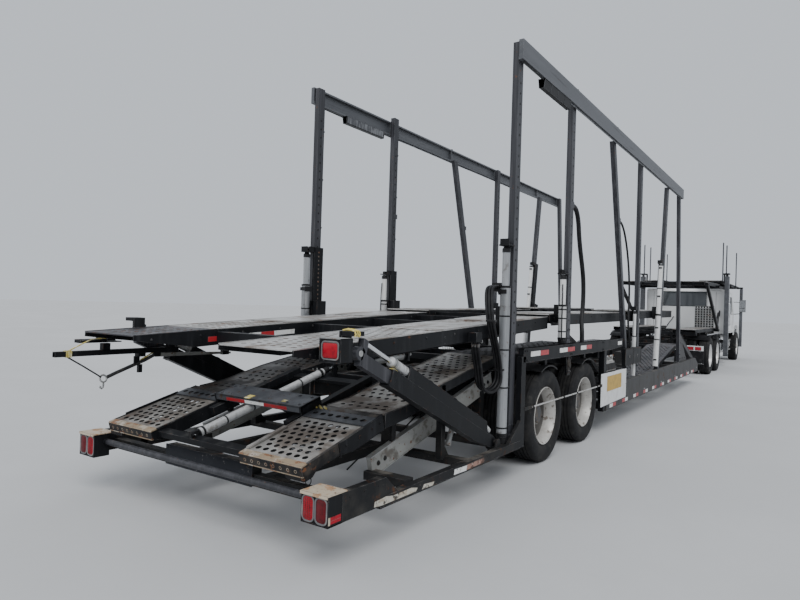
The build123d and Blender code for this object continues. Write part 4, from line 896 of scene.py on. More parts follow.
prof = [(0, 28), (6, 33), (28, 33), (30, 35.5), (44, 35.5), (46, 31.5)]
prof += [(1290, 31.5), (1292, 36), (1322, 36), (1324, 33), (1346, 33), (1350, 28), (1416, 28), (1418, 24)]
m.lathe(on_ramp(134, 100), on_ramp(1550, 100), prof, 28, 0, mats=[1, 0, 1, 1, 1, 0, 0, 1, 1, 0, 0, 1, 0, 0])
for s in (372, 640, 930, 1180):
    m.lathe(on_ramp(s, 100), on_ramp(s + 14, 100), [(0, 31), (1, 33.4), (13, 33.4), (14, 31)], 24, 1)
rbar(m, 64, 136, -20, 16, 86, 114, 1)
m.cyl((rp(90, -2)[0], 64, rp(90, -2)[1]), (rp(90, -2)[0], 136, rp(90, -2)[1]), 9, 14, 2)
# port
m.cyl(on_ramp(250, 100, -24), on_ramp(250, 100, -44), 9, 10, 1)
m.build("ramp_cylinder", "ramps", [silver, black_plastic, chrome], "barrel_silver", replaces=["ramp_cylinder_barrel"])
m = M()
LUG_S = (1640.0 - R0[0] + (-10) * RSN) / RC
m.cyl(on_ramp(700, 100), on_ramp(LUG_S + 4, 100), 14.5, 24, 0)
m.bx(1640, 1690, 84, 116, 866, 1000, 1)
m.cyl((1628, 100, low_z(1640) + 72), (1660, 100, low_z(1640) + 76), 24, 18, 1)
m.build("ramp_cylinder_held_rod", "trailer", [chrome, black], "chrome_rod", replaces=["ramp_cylinder_rod"], bevel=1.5)

# ------------------------------------------------------------------ lower runways
m = M()
m.pl = M()
runs = ((0, 1, 100.0, 1), (1, 2, 100.0, 1), (2, 3, 80.0, 1), (3, 4, 70.0, 0), (4, 5, 70.0, 0), (5, 6, 70.0, 0), (6, 7, 70.0, 0), (7, 8, 70.0, 0))
# the right runway is worn bright over the wheels, the left one stays dark, the belly's are dark on both sides
for a, b, lipd, mt in runs:
    A, B = LOW[a], LOW[b]
    # hole walls in the near-black hole material: painted shade
    m.plate(A, B, 478, 1012, 10, r=19, pu=88, pv=82, mu=30, mv=40, n=8, mat=1 if mt else 6, hmat=3)
    m.plate(A, B, -1012, -478, 10, r=19, pu=80, pv=76, mu=30, mv=36, n=12, mat=5 if mt else 6, hmat=3)
h0 = m.here()
for a, b, lipd, mt in runs:
    A, B = LOW[a], LOW[b]
    for y0, y1 in ((470, 480), (1010, 1020)):
        m.xz([A, B, (B[0], B[1] - lipd), (A[0], A[1] - lipd)], y0, y1, 2)
        m.bar((A[0], A[1] + 1), (B[0], B[1] + 1), 6, y0 - 1, y1 + 1, 1 if mt else 6)
    n = max(1, int(hypot(B[0] - A[0], B[1] - A[1]) / 420))
    for k in range(1, n):
        x = A[0] + (B[0] - A[0]) * k / n
        z = A[1] + (B[1] - A[1]) * k / n
        m.bx(x - 4, x + 4, 480, 1010, z - 60, z - 9, 2)
for xb in (6520, 7970, 9160, 10520, 11370, 12230):
    m.bx(xb, xb + 50, 500, 560, 380, low_z(xb) - 8, 2)
    m.bx(xb - 20, xb + 70, 490, 570, 380, 390, 2)
for xb in (2740, 3995, 5195):
    m.bx(xb, xb + 40, 560, 900, 1008, low_z(xb) - 8, 2)
m.both(h0)
for xb in (1690, 2640, 11360, 12480):
    m.bx(xb, xb + 60, -1020, 1020, low_z(xb) - 70, low_z(xb) - 10, 2)
# strap anchors: short bars and loops along the inner edges
h0 = m.here()
for x in range(1800, 12400, 700):
    z = low_z(x)
    m.cyl((x, 452, z - 30), (x, 470, z - 30), 7, 10, 2)
    m.tube([(x - 30, 456, z - 18), (x - 26, 448, z - 52), (x, 444, z - 60), (x + 26, 448, z - 52), (x + 30, 456, z - 18)], 5, 8, 4)
m.both(h0)
m.build("lower_runways", "trailer", [deck, deck_rusty, black, hole_painted_shade, galv, ramp_steel, dark_deck], "deck_steel", replaces=["lower_tracks_rear", "lower_tracks_front"], bevel=1.5, edge=edge_black, seg=1)


# ------------------------------------------------------------------ upper decks
def track(m, A, B, depth=125.0, y0=450, y1=1090, mt=0, tail=90.0, tip=0.55, skin=True):
    if skin:
        m.plate(A, B, y0 + 8, y1 - 8, 8, r=19, pu=92, pv=86, mu=46, mv=48, n=8, mat=mt, hmat=3)
    L = hypot(B[0] - A[0], B[1] - A[1])
    dx, dz = (B[0] - A[0]) / L, (B[1] - A[1]) / L
    for ya, yb in ((y0, y0 + 10), (y1 - 10, y1)):
        kk = (B[1] - A[1]) / (B[0] - A[0])
        m.xz([A, B, (B[0], B[1] - depth), (A[0] + tail, A[1] + kk * tail - depth), (A[0], A[1] - depth * tip)], ya, yb, 1)
        if skin:
            m.bar((A[0], A[1] + 1), (B[0], B[1] + 1), 7, ya - 1, yb + 1, mt)
        m.bar((A[0] + tail, A[1] + kk * tail - depth + 3), (B[0], B[1] - depth + 3), 8, ya - (6 if ya > (y0 + y1) / 2 - 60 and ya > y0 else 0), yb + (6 if ya < (y0 + y1) / 2 else 0), 1)
    n = int(L / 430)
    for k in range(1, n + 1):
        x, z = A[0] + 6 + (B[0] - A[0] - 12) * k / n, A[1] + (B[1] - A[1]) * k / n
        m.bx(x - 4, x + 4, y0 + 9, y1 - 9, z - 66, z - 8, 1)
    for k in range(2 * n):
        x = A[0] + 140 + (B[0] - A[0] - 280) * k / (2 * n - 1)
        z = A[1] + (B[1] - A[1]) * (x - A[0]) / (B[0] - A[0])
        if k % 2 == 0:
            m.bolt((x, y1, z - 40), (0, 1, 0), 7, 5, 1)
            m.bolt((x, y0, z - 40), (0, -1, 0), 7, 5, 1)


def overlay(m, D, x0, x1, y0, y1, t=7, taper=120, mt=0):
    """smooth plate lying on a runway, with tapered ends"""
    A, B = (x0, line_z(D, x0) + 1), (x1, line_z(D, x1) + 1)
    sl = (B[1] - A[1]) / (B[0] - A[0])
    m.xy_z([(x0, y0 + 60), (x0 + taper, y0), (x1 - taper * .4, y0), (x1, y0 + 30), (x1, y1 - 30), (x1 - taper * .4, y1), (x0 + taper, y1), (x0, y1 - 60)], A, sl, t, mt)


def xy_z(self, pts, A, sl, t, mat):
    a = sum(p[0] * q[1] - q[0] * p[1] for p, q in zip(pts, pts[1:] + pts[:1]))
    if a < 0:
        pts = pts[::-1]
    self.loft([(x, y, A[1] + (x - A[0]) * sl) for x, y in pts], [(x, y, A[1] + (x - A[0]) * sl + t) for x, y in pts], mat)


M.xy_z = xy_z


def collar(m, xp, d, z0, z1, reach, mt=1):
    hx = d / 2
    m.bx(xp - hx - 24, xp + hx + 24, reach, 1168, z0, z1, mt)
    m.bx(xp - hx - 24, xp - hx - 8, 1167, 1229, z0, z1, mt)
    m.bx(xp + hx + 8, xp + hx + 24, 1167, 1229, z0, z1, mt)
    for z in (z0 + 30, z1 - 30):
        for s in (-1, 1):
            m.bolt((xp + s * (hx + 24), 1198, z), (s, 0, 0), 9, 7, mt)


DM = [deck, black, white, hole_wall, galv, tape_red, tape_white, black_plastic, yellow, strap_black, dark_deck, arm_grey]
m = M()
m.pl = M()
h0 = m.here()
track(m, *RD, tail=520.0, tip=0.3, skin=False)
overlay(m, RD, 1500, 2480, 470, 1070)
overlay(m, RD, 2740, 3560, 462, 1078)
collar(m, 2575, 100, 1300, 1560, 1085)
m.bx(2501, 2649, 1150, 1168, 1500, 2160, 1)
# pin holes drawn as flat discs in the hole-wall colour: painted shade
for k in range(13):
    z = 1540 + k * 47
    m.cyl((2575, 1149, z), (2575, 1147, z), 11, 12, 3)
m.bx(2394, 2515, 1150, 1250, 2098, 2110, 1)
m.bx(2394, 2404, 1160, 1250, 2108, 2160, 1)
m.bx(2420, 2515, 1150, 1168, 2108, 2160, 1)
m.cyl((2440, 1205, 2090), (2440, 1205, 2142), 26, 18, 7, ch=4)
m.cyl((2440, 1205, 2140), (2440, 1205, 2158), 15, 6, 7)
m.bx(300, 400, 1085, 1106, 1200, 1372, 1)
m.bx(300, 400, 1100, 1205, 1344, 1372, 1)
m.both(h0)
# skins: the left runway's tail is dark, the rest is bright worn steel
XD = 620.0
for ya, yb, xa, xb, mt in ((450, 1090, RD[0][0], XD, 10), (450, 1090, XD, RD[1][0], 0), (-1090, -450, RD[0][0], RD[1][0], 0)):
    za, zb = line_z(RD, xa), line_z(RD, xb)
    m.plate((xa, za), (xb, zb), ya + 8, yb - 8, 8, r=19, pu=92, pv=86, mu=46, mv=48, n=12, mat=mt, hmat=3)
    for yc in (ya, yb - 10):
        m.bar((xa, za + 1), (xb, zb + 1), 7, yc - 1 if yc < 0 else yc, yc + 10, mt)
for x in (620.0, 1750.0, 2700.0, 3560.0):
    z = line_z(RD, x)
    m.bx(x, x + 90, -1085, 1085, z - 105, z - 20, 1)
    for y in (-1070, -470, 470, 1070):
        m.bx(x - 12, x + 102, y - 6, y + 6, z - 112, z - 16, 1)
# square tube, hangers, yellow tie, taut strap to a ring, hanging hook, short thick bar
m.bx(-340, 700, 1040, 1080, 1084, 1124, 1)
# the tube's open end is an inset square in the hole-wall colour: painted shade inside the tube
m.bx(-340, -336, 1045, 1075, 1089, 1119, 3)
m.bx(20, 80, 1040, 1088, 1120, 1175, 1)
m.bx(600, 660, 1040, 1088, 1120, 1200, 1)
for k in range(4):
    m.bx(-262 + k * 11, -253 + k * 11, 1036 - k % 2 * 2, 1084 + k % 2, 1080 - k % 2 * 2, 1128 + k % 2 * 2, 8)
m.tube([(-236, 1060, 1126), (-180, 1068, 1150), (-110, 1086, 1178), (-40, 1094, 1206), (120, 1095, 1216), (330, 1094, 1222)], 5, 8, 8)
m.tube([(-240, 1060, 1080), (-120, 1072, 1008), (0, 1092, 935), (48, 1104, 906)], 6, 10, 9)
m.tube([(70 + 27 * cos(a), 1110 + 6 * sin(a), 893 + 27 * sin(a)) for a in [2 * pi * k / 24 for k in range(24)]], 7, 10, 4, closed=True)
m.tube([(70, 1110, 866), (74, 1111, 846), (70, 1111, 824), (58, 1111, 815), (47, 1111, 824), (50, 1111, 836)], 7, 10, 4)
m.tube([(96, 1104, 902), (160, 1095, 930), (280, 1080, 978), (400, 1068, 1024), (470, 1062, 1058), (500, 1060, 1086)], 14, 12, 9)
m.bx(470, 530, 1044, 1076, 1050, 1086, 1)
m.tube([(360, 1072, 1026), (410, 1066, 1052), (470, 1062, 1086), (520, 1062, 1120)], 6, 8, 8)
m.bx(300, 350, 1064, 1076, 985, 1060, 1)
m.bx(335, 372, 1058, 1080, 925, 990, 1)
m.bx(318, 384, 1036, 1088, 1056, 1086, 1)
# hydraulic cylinder and pipes slung under the right runway's rear half
za, zb = line_z(RD, 700) - 158, line_z(RD, 1250) - 158
m.lathe((700, -985, za), (1250, -985, zb), [(0, 20), (4, 34), (26, 36), (30, 32), (430, 32), (434, 37), (470, 37), (474, 17), (550, 17)], 24, 4, mats=[1, 1, 1, 4, 4, 1, 1, 4, 4])
for x in (730, 1160):
    m.bx(x, x + 26, -1030, -940, line_z(RD, x) - 200, line_z(RD, x) - 30, 1)
for d, dz in ((0, 0), (22, 6), (44, 0)):
    m.tube([(640, -1052 + d, line_z(RD, 640) - 112 - dz), (900, -1048 + d, line_z(RD, 900) - 128 - dz), (1300, -1052 + d, line_z(RD, 1300) - 122 - dz),
            (1800, -1050 + d, line_z(RD, 1800) - 118 - dz), (2500, -1050 + d, line_z(RD, 2500) - 118 - dz)], 8, 8, 7)
# long tapered grey bar under the left runway, with its clamp
m.loft([(480, 1044, 1046), (480, 1076, 1046), (480, 1076, 1082), (480, 1044, 1082)], [(1280, 1050, 1036), (1280, 1070, 1036), (1280, 1070, 1054), (1280, 1050, 1054)], 11)
m.bx(1180, 1250, 1040, 1080, 1030, 1250, 1)
# small dome on a flat bracket outside the left runway's tail
m.bx(-130, 200, 1086, 1180, 1178, 1186, 1)
m.bx(-130, 200, 1172, 1180, 1178, 1204, 1)
m.bx(-130, -122, 1090, 1178, 1178, 1204, 1)
m.bx(-120, 40, 1090, 1174, 1190, 1200, 7)
m.lathe((60, 1135, 1184), (60, 1135, 1250), [(0, 42), (36, 42), (52, 33), (61, 18), (66, 4)], 24, 7)
# worn yellow strap knotted over the right portal
for k in range(3):
    m.tube([(306 + k * 21, -1110 - 5 * (k % 2), 1377), (304 + k * 22, -1140 + 6 * (k % 2), 1383 + 3 * (k % 2)), (308 + k * 20, -1176, 1380), (306 + k * 21, -1204 - 3 * (k % 2), 1374),
            (307 + k * 20, -1210, 1356 - 6 * (k % 2)), (305 + k * 20, -1206, 1338)], 6, 8, 8)
# tape on the inner side plate of the left runway
for xa, xb, mt in ((536, 786, 5), (786, 1092, 6), (1092, 1246, 5), (1246, 1500, 6)):
    za, zb = line_z(RD, xa), line_z(RD, xb)
    m.xz([(xa, za - 96), (xb, zb - 96), (xb, zb - 54), (xa, za - 54)], 448.4, 450.4, mt)
# hose blocks with their nuts
m.bx(2452, 2560, -1153, -1063, 1690, 1770, 7)
m.bx(1960, 2060, -1178, -1089, 1250, 1330, 1)
for y in (-1078, -1106, -1134):
    m.lathe((2452, y, 1735), (2410, y, 1735), [(-2, 13), (14, 13), (16, 13.8), (32, 13.8), (34, 13.2), (44, 13.2)], 6, 4)
    m.lathe((2034, y - 27, 1250), (2034, y - 27, 1208), [(-2, 13), (14, 13), (16, 13.8), (32, 13.8), (34, 13.2), (44, 13.2)], 6, 4)
# clamp round the three hoses
m.bx(2342, 2378, -1246, -1152, 990, 1008, 7)
m.bx(2194, 2230, -1232, -1142, 1420, 1438, 7)
# cylinders and pipes under the right and left runways
for s in (1, -1):
    m.lathe((1180, s * 760, 1190), (1820, s * 760, 1232), [(0, 30), (8, 44), (60, 44), (62, 40), (420, 40), (424, 46), (452, 46), (456, 22), (640, 22)], 24, 4)
    m.bx(1130, 1190, s * 760 - 22, s * 760 + 22, 1150, 1215, 1)
    m.tube([(900, s * 1070, 1235), (1300, s * 1076, 1238), (1800, s * 1076, 1262), (2500, s * 1074, 1296)], 9, 8, 7)
    m.tube([(1000, s * 1050, 1225), (1400, s * 1064, 1228), (1900, s * 1056, 1252), (2700, s * 1060, 1300)], 7, 8, 4)
m.build("rear_deck_runways", "rear_deck", DM, "deck_steel", replaces=["rear_deck"], bevel=1.5, edge=edge_black, seg=1)

m = M()
m.pl = M()
h0 = m.here()
track(m, *MD)
overlay(m, MD, 4100, 5200, 462, 1078)
overlay(m, MD, 5600, 6800, 470, 1070)
collar(m, 4060, 100, 1400, 1600, 1085)
m.bx(3986, 4134, 1150, 1168, 1560, 1990, 1)
m.bx(3888, 4000, 1150, 1248, 1932, 1944, 1)
m.bx(3920, 4000, 1150, 1168, 1942, 1990, 1)
m.cyl((3930, 1205, 1926), (3930, 1205, 1976), 24, 18, 7, ch=4)
collar(m, 7240, 100, 1400, 1560, 1085)
m.bx(6900, 7200, 1085, 1150, 1420, 1500, 1)
m.bx(7166, 7314, 1150, 1168, 1500, 1630, 1)
m.bx(7090, 7180, 1150, 1230, 1568, 1630, 1)
m.both(h0)
for x in (4010.0, 5300.0, 6900.0):
    z = line_z(MD, x)
    m.bx(x, x + 90, -1085, 1085, z - 105, z - 20, 1)
m.build("middle_deck_runways", "middle_deck", DM, "deck_steel", replaces=["middle_deck"], bevel=1.5, edge=edge_black, seg=1)

P5 = P["p5"]
A5 = atan2(P5[1] - P5[2], P5[3] - P5[4])
U5 = (sin(A5), cos(A5))
OFF5 = 112.0


def p5pt(z, off):
    return (post_x(P5, z) - off * U5[1], z + off * U5[0])


def p5box(m, z0, z1, a, b, y0, y1, mt=1):
    m.xz([p5pt(z0, a), p5pt(z1, a), p5pt(z1, b), p5pt(z0, b)], y0, y1, mt)


m = M()
m.pl = M()
h0 = m.here()
track(m, *FD)
overlay(m, FD, 7600, 8700, 462, 1078)
overlay(m, FD, 9100, 10400, 470, 1070)
p5box(m, 1440, 1640, -92, 62, 1085, 1166)
p5box(m, 1440, 1640, -92, -70, 1165, 1228)
p5box(m, 1600, 2450, -92, 62, 1150, 1166)
p5box(m, 2394, 2450, 60, 150, 1150, 1228)
m.both(h0)
for x in (7620.0, 8860.0, 10350.0):
    z = line_z(FD, x)
    m.bx(x, x + 90, -1085, 1085, z - 105, z - 20, 1)
m.build("front_deck_runways", "front_deck", DM, "deck_steel", replaces=["front_deck"], bevel=1.5, edge=edge_black, seg=1)


def rods(name, body, node, parts):
    m = M()
    h0 = m.here()
    for a, b, r in parts:
        m.cyl(a, b, r, 20, 0)
    m.both(h0)
    m.build(name, body, [chrome], "chrome_rod", replaces=[node])


rods("rear_deck_lift_rods", "rear_deck", "rear_deck_rods", [((2440, 1205, 560), (2440, 1205, 2098), 21)])
rods("middle_deck_lift_rods", "middle_deck", "middle_deck_rods", [((3930, 1205, 1300), (3930, 1205, 1932), 21), ((7120, 1205, 700), (7120, 1205, 1568), 13)])
a, b = p5pt(800, OFF5), p5pt(2394, OFF5)
rods("front_deck_lift_rods", "front_deck", "front_deck_rods", [((a[0], 1205, a[1]), (b[0], 1205, b[1]), 21)])

# lamp box outside the right runway's tail, with one rounded lamp facing back
m = M()
m.bx(80, 190, -1285, -1120, 1334, 1340, 4)
m.bx(80, 190, -1285, -1120, 1195, 1201, 0)
m.bx(80, 190, -1285, -1279, 1195, 1340, 0)
m.bx(80, 190, -1126, -1120, 1195, 1340, 0)
m.bx(84, 90, -1283, -1122, 1197, 1338, 0)
m.bx(184, 190, -1283, -1122, 1197, 1338, 0)
m.bx(120, 180, -1121, -1090, 1200, 1260, 0)


def lamp(m, x, yc, zc, w, h, r, lens, ringm, d=1):
    """rounded lamp facing backwards (d=1) with its rubber ring; rings are stacked outward"""
    def loop(k, xx):
        pts = []
        ww, hh, rr = w / 2 + k, h / 2 + k, r + k
        for cx, cy, a0 in ((ww - rr, hh - rr, 0), (-(ww - rr), hh - rr, 90), (-(ww - rr), -(hh - rr), 180), (ww - rr, -(hh - rr), 270)):
            for j in range(7):
                a = radians(a0 + 15 * j)
                pts.append((xx, yc + (cx + rr * cos(a)), zc + (cy + rr * sin(a))))
        return pts
    for (k0, x0), (k1, x1), mt in (((-1, x + 4 * d), (-1, x - 1 * d), lens), ((-4, x - 1 * d), (-9, x - 4 * d), lens)):
        m.loft(loop(k0, x0), loop(k1, x1), mt)
    n = 28
    a, b, c, e = loop(0, x + 4 * d), loop(0, x - 3 * d), loop(10, x - 3 * d), loop(10, x + 4 * d)
    v = a + b + c + e
    f = []
    for k in range(4):
        for i in range(n):
            j = (i + 1) % n
            k2 = (k + 1) % 4
            f.append((k * n + i, k * n + j, k2 * n + j, k2 * n + i))
    m.add(v, f, ringm)


lamp(m, 83, -1202.5, 1268, 116, 92, 17, 1, 2)
m.build("tail_lamp_housing", "rear_deck", [black, red_lens, rubber_grey, clear, galv], "lamp_box", replaces=["deck_lamp_box"], bevel=1.5, edge=edge_black)

# ------------------------------------------------------------------ lift arms
m = M()
h0 = m.here()
RH = 80.0
a, b = ap(96, 70), ap(226, 78)
m.lathe((a[0], 1175, a[1]), (b[0], 1175, b[1]), [(0, 18), (4, 27), (34, 28), (36, 31), (60, 31), (62, 28), (128, 28)], 24, 1)
m.xz([ap(-48, -20), ap(-48, 25), ap(60, 44), ap(170, 44), ap(222, 120), ap(1540, 120), ap(1540, 30), ap(1400, 22), ap(240, 22), ap(240, -62), ap(60, -62)], 1138, 1212, 0)
for ya, yb in ((1135, 1142), (1208, 1215)):
    m.xz([ap(60, 30), ap(1740, 30), ap(1740, -86), ap(300, -86), ap(150, -65), ap(60, -65)], ya, yb, 0)
m.xz([ap(240, 30), ap(1740, 30), ap(1740, 22), ap(240, 22)], 1138, 1212, 0)
m.xz([ap(240, -78), ap(1740, -78), ap(1740, -86), ap(290, -86)], 1138, 1212, 0)
for ya, yb in ((1131, 1143), (1207, 1219)):
    m.xz([ap(1690, 32), ap(1738, 32), ap(1738, -88), ap(1690, -88)], ya, yb, 0)
m.xz([ap(1540, 124), ap(1552, 124), ap(1552, 28), ap(1540, 28)], 1133, 1217, 0)
for sgm in (420, 820, 1220):
    m.xz([ap(sgm, 123), ap(sgm + 40, 123), ap(sgm + 40, 118), ap(sgm, 118)], 1134, 1216, 0)
AYM = 1175
a, b = ap(1545, RH), ap(1750, RH)
m.lathe((a[0], AYM, a[1]), (b[0], AYM, b[1]), [(0, 35), (150, 35), (152, 38), (172, 38), (174, 35), (196, 35), (203, 30), (205, 19)], 28, 1, mats=[1, 1, 2, 2, 2, 1, 1, 1])
m.bolt((AF[0], 1234, AF[1]), (0, 1, 0), 20, 10, 0, washer=False)
# nuts and a yellow tag on the arm's back
for sgm in (1600, 1660):
    a = ap(sgm, 30)
    m.bolt((a[0], 1206, a[1]), (-AU[1] * -1, 0, 0.9), 8, 8, 0)
m.xz([ap(1690, 30), ap(1738, 30), ap(1738, 37), ap(1690, 37)], 1176, 1214, 3)
m.both(h0)
m.build("slanted_lift_arms", "lift_arms", [black, silver, galv, yellow], "frame_black", replaces=["lift_arms"], bevel=3, edge=edge_black)
m = M()
h0 = m.here()
m.xz([ap(300, -72), ap(300, 16), ap(AL - 30, 16), ap(AL - 30, -72)], AYM - 27, AYM + 27, 1)
m.xz([ap(AL - 70, -72), ap(AL - 20, -72), ap(AL + 10, 100), ap(AL - 40, 100)], AYM - 24, AYM + 24, 1)
a, b = ap(760, RH), ap(AL - 30, RH)
m.cyl((a[0], AYM, a[1]), (b[0], AYM, b[1]), 17, 24, 0)
m.ring((AT[0], AYM - 24, AT[1]), (AT[0], AYM + 24, AT[1]), 20, 44, 28, 1)
m.cyl((AT[0], AYM - 26, AT[1]), (AT[0], AYM + 26, AT[1]), 20.5, 20, 2)
m.both(h0)
m.build("lift_arm_rods", "lift_arm_slides", [chrome, post, galv], "chrome_rod", replaces=["lift_arm_slides"], bevel=2.5)

# ------------------------------------------------------------------ rounded copies of plain nodes
def rounded(node, body, mat, w=4.0, edge=None, smooth=38, seg=2, pick=None):
    """a copy of a frame node with its sharp edges rounded; pick(face centre in mm, normal) may return 1 for the second material"""
    import bmesh
    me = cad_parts[node].data.copy()
    me.name = node + "_rounded"
    bm = bmesh.new()
    bm.from_mesh(me)
    bmesh.ops.remove_doubles(bm, verts=bm.verts, dist=2e-5)
    bmesh.ops.dissolve_limit(bm, angle_limit=radians(1.5), verts=bm.verts, edges=bm.edges)
    bmesh.ops.recalc_face_normals(bm, faces=bm.faces)
    bm.to_mesh(me)
    bm.free()
    if "custom_normal" in me.attributes:
        me.attributes.remove(me.attributes["custom_normal"])
    me.materials.clear()
    mats = mat if isinstance(mat, (list, tuple)) else [mat]
    for k in mats:
        me.materials.append(k)
    if edge is not None:
        me.materials.append(edge)
    for p in me.polygons:
        c = p.center
        p.material_index = pick((c.x * 1000 + XC, c.y * 1000, c.z * 1000), p.normal) if pick else 0
        p.use_smooth = True
    me.set_sharp_from_angle(angle=radians(smooth))
    o = bpy.data.objects.new(node + "_rounded", me)
    bpy.context.scene.collection.objects.link(o)
    b = o.modifiers.new("bevel", "BEVEL")
    b.width = w / 1000
    b.segments = seg
    b.limit_method = "ANGLE"
    b.angle_limit = radians(40)
    if edge is not None:
        b.material = len(mats)
    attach(o, body)
    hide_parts(node)
    return o


def plain(node, mat):
    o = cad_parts[node]
    if not o.material_slots:
        o.data.materials.append(mat)
    for s in o.material_slots:
        s.material = mat


rounded("wheel_bay_frame", "trailer", black_low, 4, edge_black)
plain("trailer_axles", iron)
plain("drive_axles", iron)
rounded("front_axle", "tractor", iron, 5)
for sd in ("left", "right"):
    rounded("knuckle_" + sd, "knuckle_" + sd, iron, 4)

# ------------------------------------------------------------------ belly frame
m = M()
h0 = m.here()
m.yz([(1293, 268), (1293, 575), (1225, 575), (1225, 565), (1284, 565), (1284, 279), (1225, 279), (1225, 268)], 5400, 12250, 0)
m.xz([(12250, 268), (12250, 575), (12600, 430), (12600, 268)], 1283, 1293, 0)
m.xz([(12250, 575), (12600, 430), (12600, 418), (12250, 563)], 1225, 1288, 0)
for x in range(5480, 12200, 560):
    m.bx(x, x + 8, 1230, 1285, 279, 566, 0)
# reflecting tape along the sill's lower edge, small lamps in pairs
for k, x in enumerate(range(5560, 12300, 620)):
    m.bx(x, x + 150, 1292.6, 1294.4, 286, 336, 1 if k % 2 else 2)
    m.bx(x + 152, x + 300, 1292.6, 1294.4, 286, 336, 2 if k % 2 else 1)
for x in (5900, 7140, 8380, 9620, 10860, 12100):
    for d in (0, 46):
        m.cyl((x + 330 + d, 1291, 355), (x + 330 + d, 1294.6, 355), 11, 12, 3)
for x in range(5650, 12200, 430):
    m.bolt((x, 1292, 540), (0, 1, 0), 7, 2, 0, washer=False)
m.bar((10660, 1110), (12560, 440), 95, 1180, 1233, 0)
m.bar((10690, 1150), (12500, 512), 12, 1176, 1237, 0)
m.xz([(10700, 575), (10700, 1100), (10900, 1000), (11500, 575)], 1223, 1234, 0)
for x, z in ((10760, 640), (10760, 800), (10760, 960), (11000, 640), (11240, 640)):
    m.bolt((x, 1234, z), (0, 1, 0), 11, 9, 0)
m.both(h0)
for xb in (5400, 6250, 7100, 7950, 8800, 9650, 10500, 11350, 12200):
    m.bx(xb, xb + 70, -1283, 1283, 290, 380, 0)
m.bx(12540, 12600, -1283, 1283, 280, 430, 0)
for y in (-560, 480):
    m.bx(5400, 12540, y, y + 80, 290, 380, 0)
m.xy([(12200, -430), (12660, -430), (13300, -230), (13800, -230), (13800, 230), (13300, 230), (12660, 430), (12200, 430)], 478, 600, 0)
m.bx(12200, 12540, -430, 430, 375, 478, 0)
m.cyl((13590, 0, 478), (13590, 0, 410), 25, 24, 4, ch=3)
for y in (-300, 300):
    m.tube([(12250, y, 612), (12700, y * .8, 620), (13200, y * .45, 618), (13700, y * .35, 612)], 11, 10, 5)
m.build("belly_frame_steel", "trailer", [sill_grey, tape_red, tape_white, clear, bright, rubber], "frame_black", replaces=["belly_frame"], bevel=4, edge=edge_black)

# ------------------------------------------------------------------ beams over the wheels, thin fenders
m = M()
h0 = m.here()
m.xz([(2700, 1040), (2700, 1175), (6150, 1175), (6150, 1065), (5600, 1040)], 1235, 1288, 0)
m.bx(2700, 6150, 1232, 1290, 1167, 1175, 0)
m.xz([(2700, 1040), (5600, 1040), (5600, 1047), (2700, 1047)], 1232, 1290, 0)
for xa, xb, k in ((2865, 3110, 2), (3110, 3333, 1), (3648, 3890, 2), (3890, 4128, 1), (4335, 4540, 2), (4540, 4747, 1), (5896, 6100, 2)):
    m.bx(xa, xb, 1287.5, 1289.4, 1092, 1142, k)
for xb in (2720, 3975, 5180):
    m.bx(xb, xb + 80, 1180, 1236, 1006, 1120, 0)
    for x in (xb + 18, xb + 62):
        for z in (1062, 1152):
            m.bolt((x, 1288, z), (0, 1, 0), 9, 5, 0, washer=False)
m.bx(5300, 5400, 1215, 1285, 268, 1045, 0)
m.bx(2665, 2760, 1236, 1288, 268, 1100, 0)
m.bx(2660, 2765, 1230, 1290, 268, 280, 0)
# bolted casting between the wheels
m.xz([(3935, 1045), (4095, 1045), (4060, 830), (3970, 830)], 1236, 1262, 0)
m.xz([(3960, 1035), (4070, 1035), (4046, 850), (3984, 850)], 1262, 1270, 3)
for x, z in ((3975, 1015), (4055, 1015), (3996, 870), (4034, 870)):
    m.bolt((x, 1269, z), (0, 1, 0), 11, 8, 0)
m.cyl((4015, 1262, 940), (4015, 1280, 940), 34, 20, 3, ch=3)
# thin arched fenders over the tyres
for xa in (3391.0, 4638.0):
    n = 26
    prof = [(xa + 512 * cos(a), 470 + 512 * sin(a)) for a in [radians(62 + 56 * k / (n - 1)) for k in range(n)]]
    for y0, y1, r0, r1 in ((1010, 1282, 508, 512), (1277, 1282, 496, 512)):
        A = [(xa + r1 * cos(t), 470 + r1 * sin(t)) for t in [radians(64 + 52 * k / (n - 1)) for k in range(n)]]
        B = [(xa + r0 * cos(t), 470 + r0 * sin(t)) for t in [radians(64 + 52 * k / (n - 1)) for k in range(n)]]
        v, f = [], []
        for (ax, az), (cx, cz) in zip(A, B):
            v += [(ax, y0, az), (ax, y1, az), (cx, y1, cz), (cx, y0, cz)]
        for k in range(n - 1):
            for i in range(4):
                j = (i + 1) % 4
                f.append((4 * k + i, 4 * k + j, 4 * k + 4 + j, 4 * k + 4 + i))
        f += [(0, 1, 2, 3), (4 * n - 4, 4 * n - 3, 4 * n - 2, 4 * n - 1)]
        m.add(v, f, 4)
    m.bx(xa - 30, xa + 30, 1200, 1240, 978, 1046, 0)
m.both(h0)
for xb in (2720, 3975, 5180):
    m.bx(xb, xb + 80, -1236, 1236, 951, 1008, 0)
m.build("fender_beams_steel", "trailer", [black, tape_red, tape_white, iron, black_plastic], "frame_black", replaces=["fender_beams"], bevel=3, edge=edge_black)

# ------------------------------------------------------------------ rear frame
m = M()
h0 = m.here()
m.bx(130, 560, 1235, 1293, 286, 455, 0)
m.bx(500, 2665, 1235, 1293, 268, 338, 0)
m.bx(500, 2665, 1229, 1294, 268, 276, 0)
m.xz([(560, 455), (560, 338), (700, 338)], 1240, 1288, 0)
m.xz([(2420, 338), (2665, 338), (2665, 520)], 1260, 1290, 0)
m.bx(2380, 2665, 1100, 1235, 268, 338, 0)
